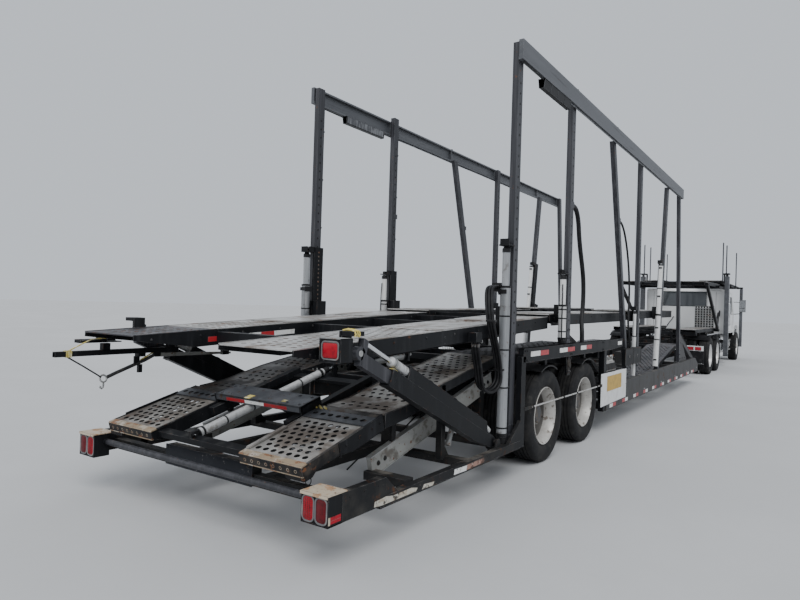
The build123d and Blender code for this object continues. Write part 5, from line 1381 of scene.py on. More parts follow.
# worn tape along the lower rear edge
m.xz([(432, 296), (520, 288), (700, 286), (908, 284), (930, 306), (850, 324), (640, 322), (560, 336), (440, 330)], 1292.5, 1294.3, 9)
m.xz([(985, 280), (1130, 276), (1150, 300), (1010, 312)], 1292.5, 1294.3, 9)
m.xz([(1430, 284), (1630, 278), (1640, 318), (1440, 326)], 1292.5, 1294.3, 2)
m.xz([(1632, 280), (1935, 284), (1930, 322), (1640, 322)], 1292.5, 1294.3, 10)
for x in (200, 340, 480):
    m.bolt((x, 1292, 420), (0, 1, 0), 10, 2, 0, washer=False)
for x in range(700, 2600, 260):
    m.bolt((x, 1292, 318), (0, 1, 0), 7, 2, 0, washer=False)
# slanted flat support arms with a light top edge
m.bar((900, 380), (2800, 850), 150, 884, 921, 8)
m.bar((882, 452), (2782, 922), 10, 880, 925, 4)
m.bar((918, 308), (2818, 778), 10, 880, 925, 8)
m.bx(2560, 2640, 840, 926, 275, 760, 0)
m.bx(860, 960, 880, 1236, 300, 360, 0)
m.bx(2725, 2795, 885, 920, 830, 951, 0)
m.bx(1150, 1200, 890, 915, 470, 784, 0)
for x, z in ((980, 400), (1060, 420), (2640, 812), (2720, 832)):
    m.bolt((x, 921, z), (0, 1, 0), 13, 10, 0)
    m.bolt((x, 884, z), (0, -1, 0), 13, 10, 0)
m.xz([(2240, 336), (2340, 336), (2320, 405), (2260, 405)], 1235, 1251, 0)
m.cyl((AF[0], 1125, AF[1]), (AF[0], 1252, AF[1]), 20, 20, 5, ch=2)
m.cyl((AF[0], 1116, AF[1]), (AF[0], 1130, AF[1]), 29, 20, 5, ch=2)
m.both(h0)
m.bx(255, 320, -1235, 1235, 300, 380, 0)
m.bx(240, 246, -420, 520, 296, 446, 6)
m.bx(246, 330, -418, 518, 300, 442, 0)
for y in (-380, 480):
    for z in (316, 426):
        m.bolt((240, y, z), (-1, 0, 0), 8, 5, 5)
m.bx(1700, 1780, -1235, 1235, 275, 335, 0)
m.bx(2480, 2560, -1100, 1100, 275, 335, 0)
for y in (-520, 420):
    m.bx(320, 1710, y + 20, y + 80, 300, 370, 0)
    m.bx(1700, 1780, y, y + 100, 330, 640, 0)
# thin cables under the runways
m.tube([(900, -700, 330), (1100, -640, 360), (1400, -600, 345), (1700, -560, 400), (2000, -540, 520), (2400, -535, 660)], 6, 8, 7)
m.tube([(900, 300, 385), (1200, 240, 392), (1500, 200, 380), (1760, 180, 345)], 5, 8, 7)
# legs inside the lift arms' feet with their bright stubs
h1 = m.here()
m.bx(1596, 1652, 1030, 1083, 330, 862, 0)
m.bx(1596, 1652, 1021, 1040, 790, 862, 0)
m.xz([(1652, 330), (1652, 470), (1760, 330)], 1050, 1062, 0)
m.lathe((1716, 1070, 420), (1786, 1070, 560), [(0, 12), (3, 25), (30, 26), (34, 22), (150, 22), (156, 10)], 20, 4)
m.both(h1)
m.build("rear_frame_steel", "trailer", [black_low, tape_red, tape_white, grey_plate, galv, iron, blue_black, rubber, arm_grey, tape_worn, tape_brown], "frame_black",
        replaces=["rear_frame"], bevel=3.5, edge=edge_black)

# ------------------------------------------------------------------ tail lamp boxes and bumper tube
m = M()
h0 = m.here()
m.bx(3, 129, 1090, 1096, 286, 459, 0)
m.bx(3, 129, 1288, 1294, 286, 459, 0)
m.bx(3, 129, 1090, 1294, 286, 292, 0)
m.bx(123, 129, 1092, 1292, 288, 458, 0)
m.bx(6, 11, 1092, 1292, 289, 458, 0)
m.bx(-5, 170, 1086, 1294, 459, 466, 3)
m.bx(-6, -2, 1086, 1294, 448, 466, 3)
lamp(m, 5, 1142, 372, 76, 134, 24, 1, 2)
lamp(m, 5, 1241, 372, 76, 134, 24, 4, 2)
for z in range(316, 430, 11):
    m.bx(-0.6, 1.5, 1110, 1174, z, z + 1.8, 4)
for y in (1126, 1142, 1158):
    m.bx(-0.6, 1.5, y - 1, y + 1, 310, 434, 4)
# small side marker low on the outer side
m.bx(24, 116, 1292, 1295, 304, 344, 1)
m.bx(27, 113, 1294.6, 1295.4, 322, 324, 2)
m.bx(6, 24, 1292, 1294.5, 300, 346, 3)
m.both(h0)
m.cyl((100, -1091, 398), (100, 1091, 398), 22, 28, 6)
for y in (-1070, 1070):
    m.ring((100, y - 10, 398), (100, y + 10, 398), 20, 26, 28, 0)
m.build("tail_lamps_and_tube", "trailer", [black, red_lens, rubber_grey, tan_top, red_dark, clear, post], "lamp_box", replaces=["rear_bumper"], bevel=1.6, edge=edge_black)

# ------------------------------------------------------------------ posts and overhead rails
m = M()
h0 = m.here()
for name, xt, xb, zt, zb, d in POSTS:
    m.xz([(xb - d / 2, zb), (xb + d / 2, zb), (xt + d / 2, zt), (xt - d / 2, zt)], 1175, 1235, 0)
    m.xz([(xt - d / 2 + 8, zt - 1), (xt + d / 2 - 8, zt - 1), (xt + d / 2 - 8, zt), (xt - d / 2 + 8, zt)], 1183, 1227, 2)
    # strip with pin holes on the inner side, facing plates on the outer side
    if name not in ("p3", "p6"):
        n = int((zt - 260 - max(zb + 120, 1180)) / 95)
        for k in range(n):
            z = max(zb + 120, 1180) + k * 95 + 40
            x = post_x((name, xt, xb, zt, zb, d), z)
            # both rows of discs use the near-black hole material: painted shade
            m.cyl((x, 1234, z), (x, 1235.6, z), 13, 12, 3)
            m.cyl((x, 1176, z), (x, 1174.4, z), 13, 12, 3)
    m.bx(xb - d / 2 - 14, xb + d / 2 + 14, 1172, 1237, zb, zb + 12, 0)
    for z in (zb + 60, zb + 150):
        for s in (-1, 1):
            m.bolt((post_x((name, xt, xb, zt, zb, d), z) + s * d * .28, 1235, z), (0, 1, 0), 9, 7, 0)
    for z in (3815, 3945):
        x = post_x((name, xt, xb, zt, zb, d), min(z, zt - 15))
        if z < zt:
            m.bolt((x, 1247, z), (0, 1, 0), 9, 7, 0)
xc, zc = 4140.0, 2720.0
m.bx(xc - 45, xc, 1177, 1233, zc - 30, zc + 30, 0)
xc, zc = 6085.0, 2800.0
m.bx(xc - 45, xc, 1177, 1233, zc - 30, zc + 30, 0)
# black straps holding a thin pipe down the posts
for name, xt, xb, zt, zb, d in (P["p1"], P["p2"], P["p4"]):
    zz = [zt - 200 - k * (zt - 200 - max(zb, 1200) - 100) / 9 for k in range(10)]
    m.tube([(xb + d / 2 + 12, 1190, z) for z in zz], 6, 8, 4)
    for z in zz[1::2]:
        m.bx(xb + d / 2 - 2, xb + d / 2 + 20, 1180, 1202, z - 8, z + 8, 4)
m.both(h0)
m.build("side_post_steel", "trailer", [post, edge_post, edge_post, hole_painted_shade, black_plastic], "post_paint", replaces=["side_posts"], bevel=5, edge=edge_post)

m = M()
h0 = m.here()
# smooth outer face, open towards the middle, with ribs at the posts
m.yz([(1281, 3789), (1281, 3971), (1235, 3971), (1235, 3950), (1240, 3950), (1240, 3964), (1274, 3964), (1274, 3796), (1240, 3796), (1240, 3810), (1235, 3810), (1235, 3789)], 2510, 10430, 0)
for x in (2510, 4010, 5640, 7190, 9150, 10290, 10422):
    m.bx(x, x + 8, 1238, 1276, 3794, 3966, 0)
for x in range(2900, 10400, 620):
    m.bolt((x, 1274, 3930), (0, -1, 0), 8, 7, 0)
    m.bolt((x, 1274, 3830), (0, -1, 0), 8, 7, 0)
for x in (4060, 5690):
    m.lathe((x, 1258, 3969), (x, 1258, 3990), [(0, 20), (8, 20), (12, 15), (20, 15), (22, 8)], 14, 2)
# strip work lights under the rear part
m.yz([(1205, 3791), (1275, 3791), (1262, 3703), (1214, 3703)], 3060, 3830, 2)
m.yz([(1203.5, 3786), (1206, 3786), (1213, 3712), (1210.5, 3712)], 3080, 3810, 3)
for x in (3060, 3250, 3440, 3630, 3822):
    m.yz([(1203, 3791), (1277, 3791), (1264, 3701), (1212, 3701)], x, x + 8, 2)
m.tube([(2560, 1262, 3783), (2900, 1262, 3778), (3060, 1262, 3776)], 6, 8, 2)
m.tube([(3830, 1256, 3776), (4600, 1256, 3782), (5600, 1256, 3778), (6600, 1256, 3782), (7900, 1256, 3780)], 8, 8, 3)
m.both(h0)
m.build("overhead_rail_steel", "trailer", [rail_m, clear, black_plastic, edge_post], "post_paint", replaces=["overhead_rails"], bevel=3, edge=edge_post)

# ------------------------------------------------------------------ lift cylinders
m = M()
h0 = m.here()


def band(m, x, z, r, h=14, mt=1, y=1205):
    m.lathe((x, y, z), (x, y, z + h), [(0, r - 1), (1, r + 2.5), (h - 1, r + 2.5), (h, r - 1)], 24, mt)


m.lathe((2440, 1205, 338), (2440, 1205, 2090), [(0, 40), (4, 46), (60, 46), (62, 50), (92, 50), (94, 46), (1380, 46), (1384, 49), (1402, 49), (1404, 34), (1700, 34), (1702, 38), (1734, 38), (1740, 32), (1752, 24)], 32, 0,
        mats=[1, 1, 3, 1, 1, 3, 3, 1, 1, 3, 3, 1, 1, 1, 1])
for z in (472, 829, 1165, 1464):
    band(m, 2440, z, 46)
    m.bx(2470, 2530, 1178, 1232, z + 1, z + 13, 1)
m.bx(2394, 2530, 1158, 1176, 1660, 1716, 1)
m.bx(2384, 2396, 1158, 1238, 1670, 1706, 1)
m.lathe((3930, 1205, 1175), (3930, 1205, 1925), [(0, 36), (4, 42), (40, 42), (42, 46), (66, 46), (68, 42), (400, 42), (404, 45), (424, 45), (426, 32), (700, 32), (702, 36), (736, 36), (744, 30), (750, 24)], 28, 2,
        mats=[1, 1, 2, 1, 1, 2, 2, 1, 1, 2, 2, 1, 1, 1, 1])
for z in (1300, 1443, 1540):
    band(m, 3930, z, 42)
    m.bx(3960, 4012, 1180, 1230, z + 1, z + 13, 1)
m.tube([(3888, 1214, 1820), (3884, 1218, 1700), (3878, 1220, 1500), (3880, 1220, 1330), (3890, 1216, 1215)], 6, 8, 1)
m.lathe((7120, 1205, 575), (7120, 1205, 1560), [(0, 26), (4, 30), (590, 30), (593, 33), (606, 33), (608, 24), (940, 24), (942, 27), (970, 27), (980, 22), (985, 16)], 24, 2,
        mats=[1, 2, 2, 1, 1, 2, 2, 1, 1, 1, 1])
for z in (760, 1000):
    band(m, 7120, z, 30, 12)
    m.bx(7140, 7194, 1185, 1225, z + 1, z + 11, 1)
for za, zb, r in ((600, 1500, 44), (1500, 2380, 36)):
    a, b = p5pt(za, OFF5), p5pt(zb, OFF5)
    L = hypot(b[0] - a[0], b[1] - a[1])
    m.lathe((a[0], 1205, a[1]), (b[0], 1205, b[1]), [(0, r - 4), (4, r), (L * .5, r), (L * .5 + 1, r + 3), (L * .5 + 18, r + 3), (L * .5 + 19, r), (L - 30, r), (L - 29, r + 4), (L - 3, r + 4), (L, r - 8)], 28, 2,
            mats=[1, 2, 2, 1, 1, 2, 2, 1, 1, 1])
for z in (700, 1250, 1800, 2300):
    a, b = p5pt(z, 50), p5pt(z + 24, 50)
    m.xz([p5pt(z, 50), p5pt(z + 24, 50), p5pt(z + 24, OFF5 + 46), p5pt(z, OFF5 + 46)], 1180, 1230, 1)
m.both(h0)
m.build("lift_cylinder_set", "trailer", [silver, black_plastic, white_cyl, grey_cyl], "barrel_silver", replaces=["lift_cylinder_barrels"])

# ------------------------------------------------------------------ equipment along the sides
m = M()
h0 = m.here()
m.bx(5420, 6060, 1150, 1262, 700, 712, 0)
m.bx(5420, 6060, 1254, 1262, 700, 736, 0)
m.bx(5480, 5960, 1170, 1246, 712, 842, 1)
for k in range(7):
    x = 5494 + k * 66
    m.bx(x, x + 54, 1165, 1250, 720, 850, 1)
    m.bx(x + 8, x + 46, 1178, 1238, 850, 874, 2)
    m.cyl((x + 27, 1208, 872), (x + 27, 1208, 890), 17, 16, 2, ch=2)
    m.tube([(x + 27, 1208, 885), (x + 27, 1214, 915), (x + 27, 1222, 944)], 5, 8, 2)
    m.lathe((x + 27, 1222, 938), (x + 27, 1224, 960), [(0, 6), (3, 11), (15, 12), (20, 8), (22, 3)], 14, 5 if k % 3 else 6)
    m.cyl((x + 27, 1248, 760), (x + 27, 1262, 760), 11, 6, 2)
    m.tube([(x + 27, 1262, 760), (x + 27, 1266, 740), (x + 30, 1258, 716)], 7, 8, 4)
m.bx(5962, 6040, 1170, 1240, 712, 800, 0)
# dark boxes with lighter edges
m.bx(6320, 7240, 1237, 1286, 782, 1018, 0)
m.bx(6320, 7240, 1284, 1289, 1008, 1020, 1)
m.bx(6320, 7240, 1284, 1289, 780, 790, 1)
m.bx(6320, 6330, 1284, 1289, 780, 1020, 1)
m.bx(7230, 7240, 1284, 1289, 780, 1020, 1)
m.bx(6772, 6784, 1284, 1289, 780, 1020, 1)
for x in (6560, 7010):
    m.cyl((x, 1286, 900), (x, 1290, 900), 17, 18, 2)
    m.bx(x - 3, x + 3, 1289, 1293, 888, 912, 1)
# white panel with a plain ochre patch, tape under it
m.xz([(5145, 340), (6350, 352), (6350, 748), (5145, 756)], 1293.4, 1297, 3)
m.bx(5402, 6300, 1264, 1293.5, 590, 744, 3)
m.bx(5405, 6095, 1296.5, 1298, 512, 706, 7)
for x in (5175, 6320):
    for z in (372, 540, 722):
        m.bolt((x, 1297, z), (0, 1, 0), 6, 3, 2, washer=False)
m.bx(5118, 5172, 1279, 1305, 596, 630, 1)
# long winch bar with its knobs
m.cyl((2925, 1284, 612), (5262, 1284, 612), 9, 14, 2)
m.bx(2760, 2936, 1279, 1292, 598, 626, 1)
m.bx(5250, 5300, 1279, 1292, 598, 626, 1)
for x in (3391 - 430, 3391 + 430, 4638 - 380, 4638 + 380):
    m.lathe((x - 22, 1284, 612), (x + 22, 1284, 612), [(0, 10), (4, 10.8), (40, 10.8), (44, 10)], 14, 1)
m.both(h0)
m.build("side_gear", "trailer", [black, iron, steel_bar, white, rubber, white_cyl, brown_knob, ochre, tape_red, tape_white], "panel_white",
        replaces=["side_equipment"], bevel=2, edge=edge_black)


# ------------------------------------------------------------------ wheels
def rev(self, x, z, loop, n=72, mat=0, mats=None, notch=None, sgn=1):
    """revolve a closed loop of (radius, y) about the line through (x, z) along y"""
    v, f, mm = [], [], []
    k = len(loop)
    for i in range(n):
        a = 2 * pi * i / n
        for j, (r, y) in enumerate(loop):
            if notch and j in notch and i % 3 == 0:
                r = r - notch[j]
            v.append((x + r * cos(a), y * sgn, z + r * sin(a)))
    for i in range(n):
        i2 = (i + 1) % n
        for j in range(k):
            j2 = (j + 1) % k
            f.append((i * k + j, i * k + j2, i2 * k + j2, i2 * k + j))
            mm.append(mats[j] if mats else mat)
    b = len(self.v)
    self.v += v
    self.f += [tuple(b + q2 for q2 in q) for q in f]
    self.m += mm


M.rev = rev


def tyre_loop(R, w, yc):
    h = w / 2
    rb = 288.0
    L = [(rb, yc - h * .72), (rb + 14, yc - h * .80), (rb + 30, yc - h * .88), (rb + 60, yc - h * .97), (rb + 96, yc - h), (R - 52, yc - h * .97), (R - 26, yc - h * .93), (R - 9, yc - h * .84),
         (R - 1, yc - h * .74)]
    notch = {7: 9.0, 8: 9.0}
    g = 6.0
    for yy in (-.46, -.155, .155, .46):
        c = yc + h * yy
        L += [(R, c - g), (R - 12, c - g * .6), (R - 12, c + g * .6), (R, c + g)]
    k = len(L)
    L += [(R - 1, yc + h * .74), (R - 9, yc + h * .84), (R - 26, yc + h * .93), (R - 52, yc + h * .97), (rb + 96, yc + h), (rb + 60, yc + h * .97), (rb + 30, yc + h * .88), (rb + 14, yc + h * .80),
          (rb, yc + h * .72)]
    notch[k] = 9.0
    notch[k + 1] = 9.0
    return L, notch


def disc_with_holes(m, x, z, y0, t, r_in, r_out, holes, hr, rc, mat, sgn):
    """flat ring with round hand holes, closed, t thick towards smaller y"""
    n = holes * 12
    import itertools
    for side in (0, 1):
        y = y0 - side * t
        v, f = [], []
        rings = []
        for k in range(n):
            a = 2 * pi * k / n
            rings.append((cos(a), sin(a)))
        inner = [(x + r_in * c, y * sgn, z + r_in * s) for c, s in rings]
        outer = [(x + r_out * c, y * sgn, z + r_out * s) for c, s in rings]
        hp = []
        for hidx in range(holes):
            ac = 2 * pi * (hidx * 12 + 6) / n
            for q2 in range(24):
                b = 2 * pi * q2 / 24
                hp.append((x + rc * cos(ac) + hr * cos(b + ac), y * sgn, z + rc * sin(ac) + hr * sin(b + ac)))
        v = inner + outer + hp
        nI, nO = 0, n
        for hidx in range(holes):
            s0 = hidx * 12
            # boundary of this sector, counter-clockwise, starting at the outward direction of the hole's centre
            outer_idx = [nO + (s0 + i) % n for i in range(0, 13)]
            inner_idx = [nI + (s0 + i) % n for i in range(0, 13)]
            boundary = outer_idx[6:] + inner_idx[::-1] + outer_idx[:6]
            hole_idx = [2 * n + hidx * 24 + i for i in range(24)]
            nb = len(boundary)
            # walk both loops together
            i = j = 0
            while i < nb or j < 24:
                if i * 24 <= j * nb and i < nb:
                    f.append((boundary[i % nb], boundary[(i + 1) % nb], hole_idx[j % 24]))
                    i += 1
                else:
                    f.append((boundary[i % nb], hole_idx[(j + 1) % 24], hole_idx[j % 24]))
                    j += 1
        m.add(v, f, mat)
        if side == 0:
            first = hp
        else:
            for hidx in range(holes):
                A = first[hidx * 24:(hidx + 1) * 24]
                B = hp[hidx * 24:(hidx + 1) * 24]
                m.loft(A, B, mat, caps=False)


TYR, WHT, DRK, NUT = range(4)


def twin(name, body, node, x, R, y_out, sgn):
    m = M()
    # trailer wheels give the deep part of the dish a darker material: brake dust plus painted shade
    DSC = 4 if node.startswith("wheels_trailer") else WHT
    w, gap = 255.0, 45.0
    yo, yi = y_out - w / 2, y_out - w * 1.5 - gap
    ym = (yo + yi) / 2
    for yc in (yo, yi):
        L, notch = tyre_loop(R, w - 2, yc)
        m.rev(x, R, L, 96, TYR, notch=notch, sgn=sgn)
    for s in (1, -1):
        def Y(y):
            return ym + s * (y - ym)
        yrim = yo + w * .36
        # rim barrel with its rolled outer flange
        rim = [(287.5, Y(yo - w * .40)), (287.5, Y(yrim + 4)), (291, Y(yrim + 12)), (288, Y(yrim + 17)), (281, Y(yrim + 15)), (278, Y(yrim + 6)),
               (268, Y(yrim - 8)), (262, Y(yrim - 30)), (250, Y(yrim - 60)), (249, Y(yrim - 98)), (248, Y(ym + 62)), (256, Y(ym + 48)), (268, Y(ym + 40)), (268, Y(yo - w * .40))]
        # the deeper barrel faces take the disc material: painted shade in the dish
        m.rev(x, R, rim, 72, mats=[5 if DSC == 4 else WHT] * 9 + [DSC] * 5, sgn=sgn)
        # cone from the rim well down to the disc
        cone = [(256, Y(ym + 50)), (250, Y(ym + 62)), (226, Y(ym + 40)), (212, Y(ym + 24)), (214, Y(ym + 10)), (232, Y(ym + 26))]
        m.rev(x, R, cone, 72, DSC, sgn=sgn)
        if s > 0:
            disc_with_holes(m, x, R, ym + 18, 12, 150, 215, 10, 21, 187, DSC, sgn)
            # hub and nut circle
            m.rev(x, R, [(70, ym + 2), (70, ym + 22), (84, ym + 26), (152, ym + 24), (154, ym + 6)], 48, DSC, sgn=sgn)
            e = 58 if DSC == 4 else 0
            m.rev(x, R, [(.5, ym + 10), (104, ym + 10), (108, ym + 96 + e), (100, ym + 104 + e), (84, ym + 108 + e), (84, ym + 122 + e), (76, ym + 128 + e), (.5, ym + 129 + e)], 40,
                  mats=[DRK, DRK, DRK, DSC, DSC, DRK, DRK, DRK] if DSC == 4 else [WHT] * 8, sgn=sgn)
            for k in range(8):
                a = 2 * pi * k / 8
                p = (x + 92 * cos(a), (ym + 104 + e) * sgn, R + 92 * sin(a))
                m.bolt(p, (0, sgn, 0), 8, 7, NUT, washer=False)
            for k in range(10):
                a = 2 * pi * (k + .5) / 10
                p = (x + 133 * cos(a), (ym + 24) * sgn, R + 133 * sin(a))
                m.lathe(p, (p[0], p[1] + sgn * 10, p[2]), [(-1, 19), (4, 19), (4.2, 16), (26, 15), (30, 11)], 6, NUT)
                m.lathe(p, (p[0], p[1] + sgn * 10, p[2]), [(20, 8), (44, 8), (46, 6)], 10, NUT)
            # valve stem
            m.tube([(x + 246, (ym + 60) * sgn, R + 18), (x + 232, (ym + 92) * sgn, R + 17), (x + 224, (ym + 118) * sgn, R + 16)], 4, 8, NUT)
        else:
            m.rev(x, R, [(120, Y(ym + 2)), (120, Y(ym + 14)), (215, Y(ym + 18)), (215, Y(ym + 6))], 48, WHT, sgn=sgn)
    m.build(name, body, [tyre_m, wheel, wheel_dark, nut_m, wheel_dust_and_dish_shade, wheel_worn], "wheel_dual", replaces=[node], smooth=30)


for sn, sg in (("left", 1), ("right", -1)):
    for tag, x, R, yo_ in (("trailer_rear", 3391.0, 466.0, 1270.0), ("trailer_front", 4638.0, 466.0, 1270.0), ("drive_rear", 15040.0, 480.0, 1245.0), ("drive_front", 16360.0, 480.0, 1245.0)):
        twin("%s_twin_%s" % (tag, sn), "%s_wheels_%s" % (tag, sn), "wheels_%s_%s" % (tag, sn), x, R, yo_, sg)
    m = M()
    L, notch = tyre_loop(480.0, 263.0, 1075.0)
    m.rev(21550, 480, L, 96, TYR, notch=notch, sgn=sg)
    c = 1075.0
    m.rev(21550, 480, [(287.5, c - 106), (287.5, c + 100), (291, c + 108), (288, c + 113), (281, c + 111), (276, c + 102), (262, c + 92), (254, c + 74), (252, c + 34), (262, c + 24), (262, c - 106)], 72, WHT, sgn=sg)
    m.rev(21550, 480, [(256, c + 22), (252, c + 34), (234, c + 42), (206, c + 60), (206, c + 46), (232, c + 28)], 72, WHT, sgn=sg)
    disc_with_holes(m, 21550, 480, c + 60, 12, 150, 210, 10, 19, 184, WHT, sg)
    m.rev(21550, 480, [(70, c + 44), (70, c + 64), (84, c + 66), (152, c + 62), (154, c + 48)], 48, WHT, sgn=sg)
    m.rev(21550, 480, [(37, c - 58), (98, c - 58), (96, c + 60), (88, c + 92), (80, c + 96), (37, c + 96)], 40, DRK, sgn=sg)
    m.rev(21550, 480, [(.5, c + 92), (72, c + 92), (76, c + 98), (70, c + 116), (40, c + 122), (.5, c + 124)], 36, NUT, sgn=sg)
    for k in range(10):
        a = 2 * pi * (k + .5) / 10
        p = (21550 + 133 * cos(a), (c + 62) * sg, 480 + 133 * sin(a))
        m.lathe(p, (p[0], p[1] + sg * 10, p[2]), [(-1, 19), (4, 19), (4.2, 16), (26, 15), (30, 11)], 6, NUT)
    m.build("steered_wheel_" + sn, "steer_wheel_" + sn, [tyre_m, wheel, wheel_dark, nut_m], "tyre", replaces=["wheel_steer_" + sn], smooth=30)

# ------------------------------------------------------------------ tractor
rounded("tractor_frame", "tractor", black_low, 4, edge_black)
rounded("engine", "tractor", iron, 18)
rounded("cab_interior", "tractor", trim, 30, seg=3)
plain("cab_glass", glass_m)
rounded("cab_shell", "tractor", cab_white, 26, seg=4)
for sd in ("left", "right"):
    def which(c, n):
        return 1 if abs(c[1]) > 1085 and abs(c[1]) < 1105 and abs(n.y) > .9 else 0
    rounded("door_" + sd, "door_" + sd, [cab_white, glass_m], 4, pick=which)
rounded("hood", "hood", cab_white, 30, seg=4)
rounded("front_bumper", "tractor", bright, 8, seg=3)
rounded("rack_posts", "tractor", rail_m, 8, edge_post)
rounded("rack_uprights", "rack_deck", post, 2)
# the front rods of the rack slide in its front posts
m = M()
for s in (1, -1):
    m.cyl((22330, 1220 * s, 700), (22330, 1220 * s, 2500), 27)
m.build("rack_front_rods", "rack_deck", [post], "post_paint")

# tail bar: pale tube frame with lamps, an oval plate and the dark panels' hangers
m = M()
m.bx(13566, 13573, -1268, 1268, 660, 770, 0)
m.bx(13566, 13632, -1268, 1268, 768, 776, 0)
for y in (-1150, -985, 985, 1150):
    m.bx(13558, 13569, y - 68, y + 68, 672, 758, 2)
    m.bx(13550, 13560, y - 60, y + 60, 680, 750, 1)
    for d in (-30, 0, 30):
        m.bx(13548, 13551, y + d - 1.5, y + d + 1.5, 684, 746, 2)
for y in (-820, 820):
    m.lathe((13567, y, 715), (13550, y, 715), [(-4, 38), (4, 38), (8, 34), (12, 20)], 24, 5)
# blank oval plate
n = 40
ring0 = [(13561, 120 * cos(2 * pi * k / n), 715 + 44 * sin(2 * pi * k / n)) for k in range(n)]
ring1 = [(13567, 124 * cos(2 * pi * k / n), 715 + 48 * sin(2 * pi * k / n)) for k in range(n)]
m.loft(ring0, ring1, 3)
for y in (-420, -300, 300, 420):
    m.cyl((13560, y, 715), (13567, y, 715), 17, 16, 1)
for s in (1, -1):
    m.bx(13586, 13599, s * 944 - 322, s * 944 + 322, 640, 662, 3)
    m.bx(13583, 13602, s * 944 - 322, s * 944 + 322, 346, 362, 3)
    for y in (700, 940, 1190):
        m.bolt((13586, s * y, 650), (-1, 0, 0), 9, 6, 3)
m.build("tail_bar_lamps", "tractor", [white, red_lens, rubber_grey, bright, black, amber], "panel_white", bevel=2)
plain("tail_panels", black_plastic)

# fuel tanks with straps and caps, and steps
m = M()
h0 = m.here()
m.lathe((18700, 850, 610), (20050, 850, 610), [(0, 262), (10, 280), (26, 289), (1324, 289), (1340, 280), (1350, 262)], 56, 0)
for x in (18900, 19760):
    m.ring((x, 850, 610), (x + 70, 850, 610), 286, 296, 56, 1)
    m.bx(x, x + 80, 440, 600, 560, 660, 2)
m.cyl((18840, 990, 858), (18840, 1010, 900), 48, 24, 1, ch=6)
# steps on the tank
for z in (470, 760):
    m.bx(19150, 19650, 1090, 1190, z, z + 14, 1)
    m.bx(19150, 19650, 1182, 1190, z - 26, z + 14, 1)
    for x in range(19180, 19640, 56):
        m.bx(x, x + 24, 1100, 1176, z + 13, z + 18, 2)
m.bx(19180, 19210, 1085, 1110, 440, 800, 2)
m.bx(19590, 19620, 1085, 1110, 440, 800, 2)
m.both(h0)
m.build("tanks_and_steps", "tractor", [bright, galv, black_low], "bright_metal", replaces=["fuel_tanks"], bevel=3, smooth=30)

m = M()
h0 = m.here()
# mirrors: bracket, arm and a rounded head with its glass facing back
m.tube([(20995, 1118, 1575), (20995, 1200, 1580), (20995, 1318, 1600), (20995, 1330, 1660)], 11, 12, 0)
m.tube([(20995, 1118, 1980), (20995, 1220, 1985), (20995, 1322, 1960)], 9, 12, 0)
m.bx(20955, 21030, 1294, 1478, 1652, 2058, 0)
m.bx(20950, 20957, 1306, 1466, 1790, 2044, 1)
m.bx(20950, 20957, 1306, 1466, 1664, 1774, 1)
m.bx(20975, 21012, 1108, 1124, 1555, 1600, 2)
m.both(h0)
m.build("side_mirrors", "tractor", [black_plastic, bright, white], "trim_grey", replaces=["mirrors"], bevel=9, seg=3)

# ---- cab details: panel seams, rear wall plates, roof lamps, grab handles, wipers
m = M()
CYL = 1120.0
for s in (1, -1):
    # rain gutter and lower skirt
    m.bx(18460, 20390, s * 1119 - 7, s * 1119 + 7, 2256, 2268, 0)
    m.bx(18460, 19690, s * 1121 - 2, s * 1121 + 2, 1246, 1254, 1)
    m.bx(18940, 18946, s * 1120 - 1.5, s * 1120 + 1.5, 1000, 2240, 4)
    # sleeper side window, black framed
    m.bx(19040, 19480, s * 1121 - 3, s * 1121 + 3, 1680, 2060, 2)
    m.bx(19062, 19458, s * 1124 - 2, s * 1124 + 2, 1702, 2038, 3)
    # grab handles
    m.tube([(19640, s * 1120, 1180), (19640, s * 1158, 1210), (19640, s * 1160, 1400), (19640, s * 1160, 1700), (19640, s * 1158, 1880), (19640, s * 1120, 1910)], 13, 12, 5)
    # locker door under the bunk
    m.bx(18560, 18900, s * 1121 - 2, s * 1121 + 2, 1020, 1236, 0)
    m.bx(18700, 18760, s * 1124 - 3, s * 1124 + 3, 1120, 1140, 5)
# rear wall: raised band round the dark window, vertical seams with rivets, lower dark panel
m.bx(18446, 18451, -700, 700, 1740, 1780, 0)
m.bx(18446, 18451, -700, 700, 2240, 2262, 0)
for y in (-900, -660, 660, 900):
    m.bx(18447, 18451, y - 4, y + 4, 1000, 2240, 4)
    for z in range(1040, 2230, 120):
        m.cyl((18451, y + 22, z), (18446, y + 22, z), 6, 10, 0)
m.bx(18446, 18451, -640, -622, 1780, 2240, 2)
m.bx(18446, 18451, 622, 640, 1780, 2240, 2)
m.bx(18446, 18451, -640, 640, 1772, 1790, 2)
m.bx(18446, 18451, -640, 640, 2230, 2246, 2)
# roof lamps
for y in (-760, -380, 0, 380, 760):
    m.lathe((20330, y, 2331), (20330, y, 2375), [(0, 46), (14, 44), (30, 32), (38, 12)], 20, 6)
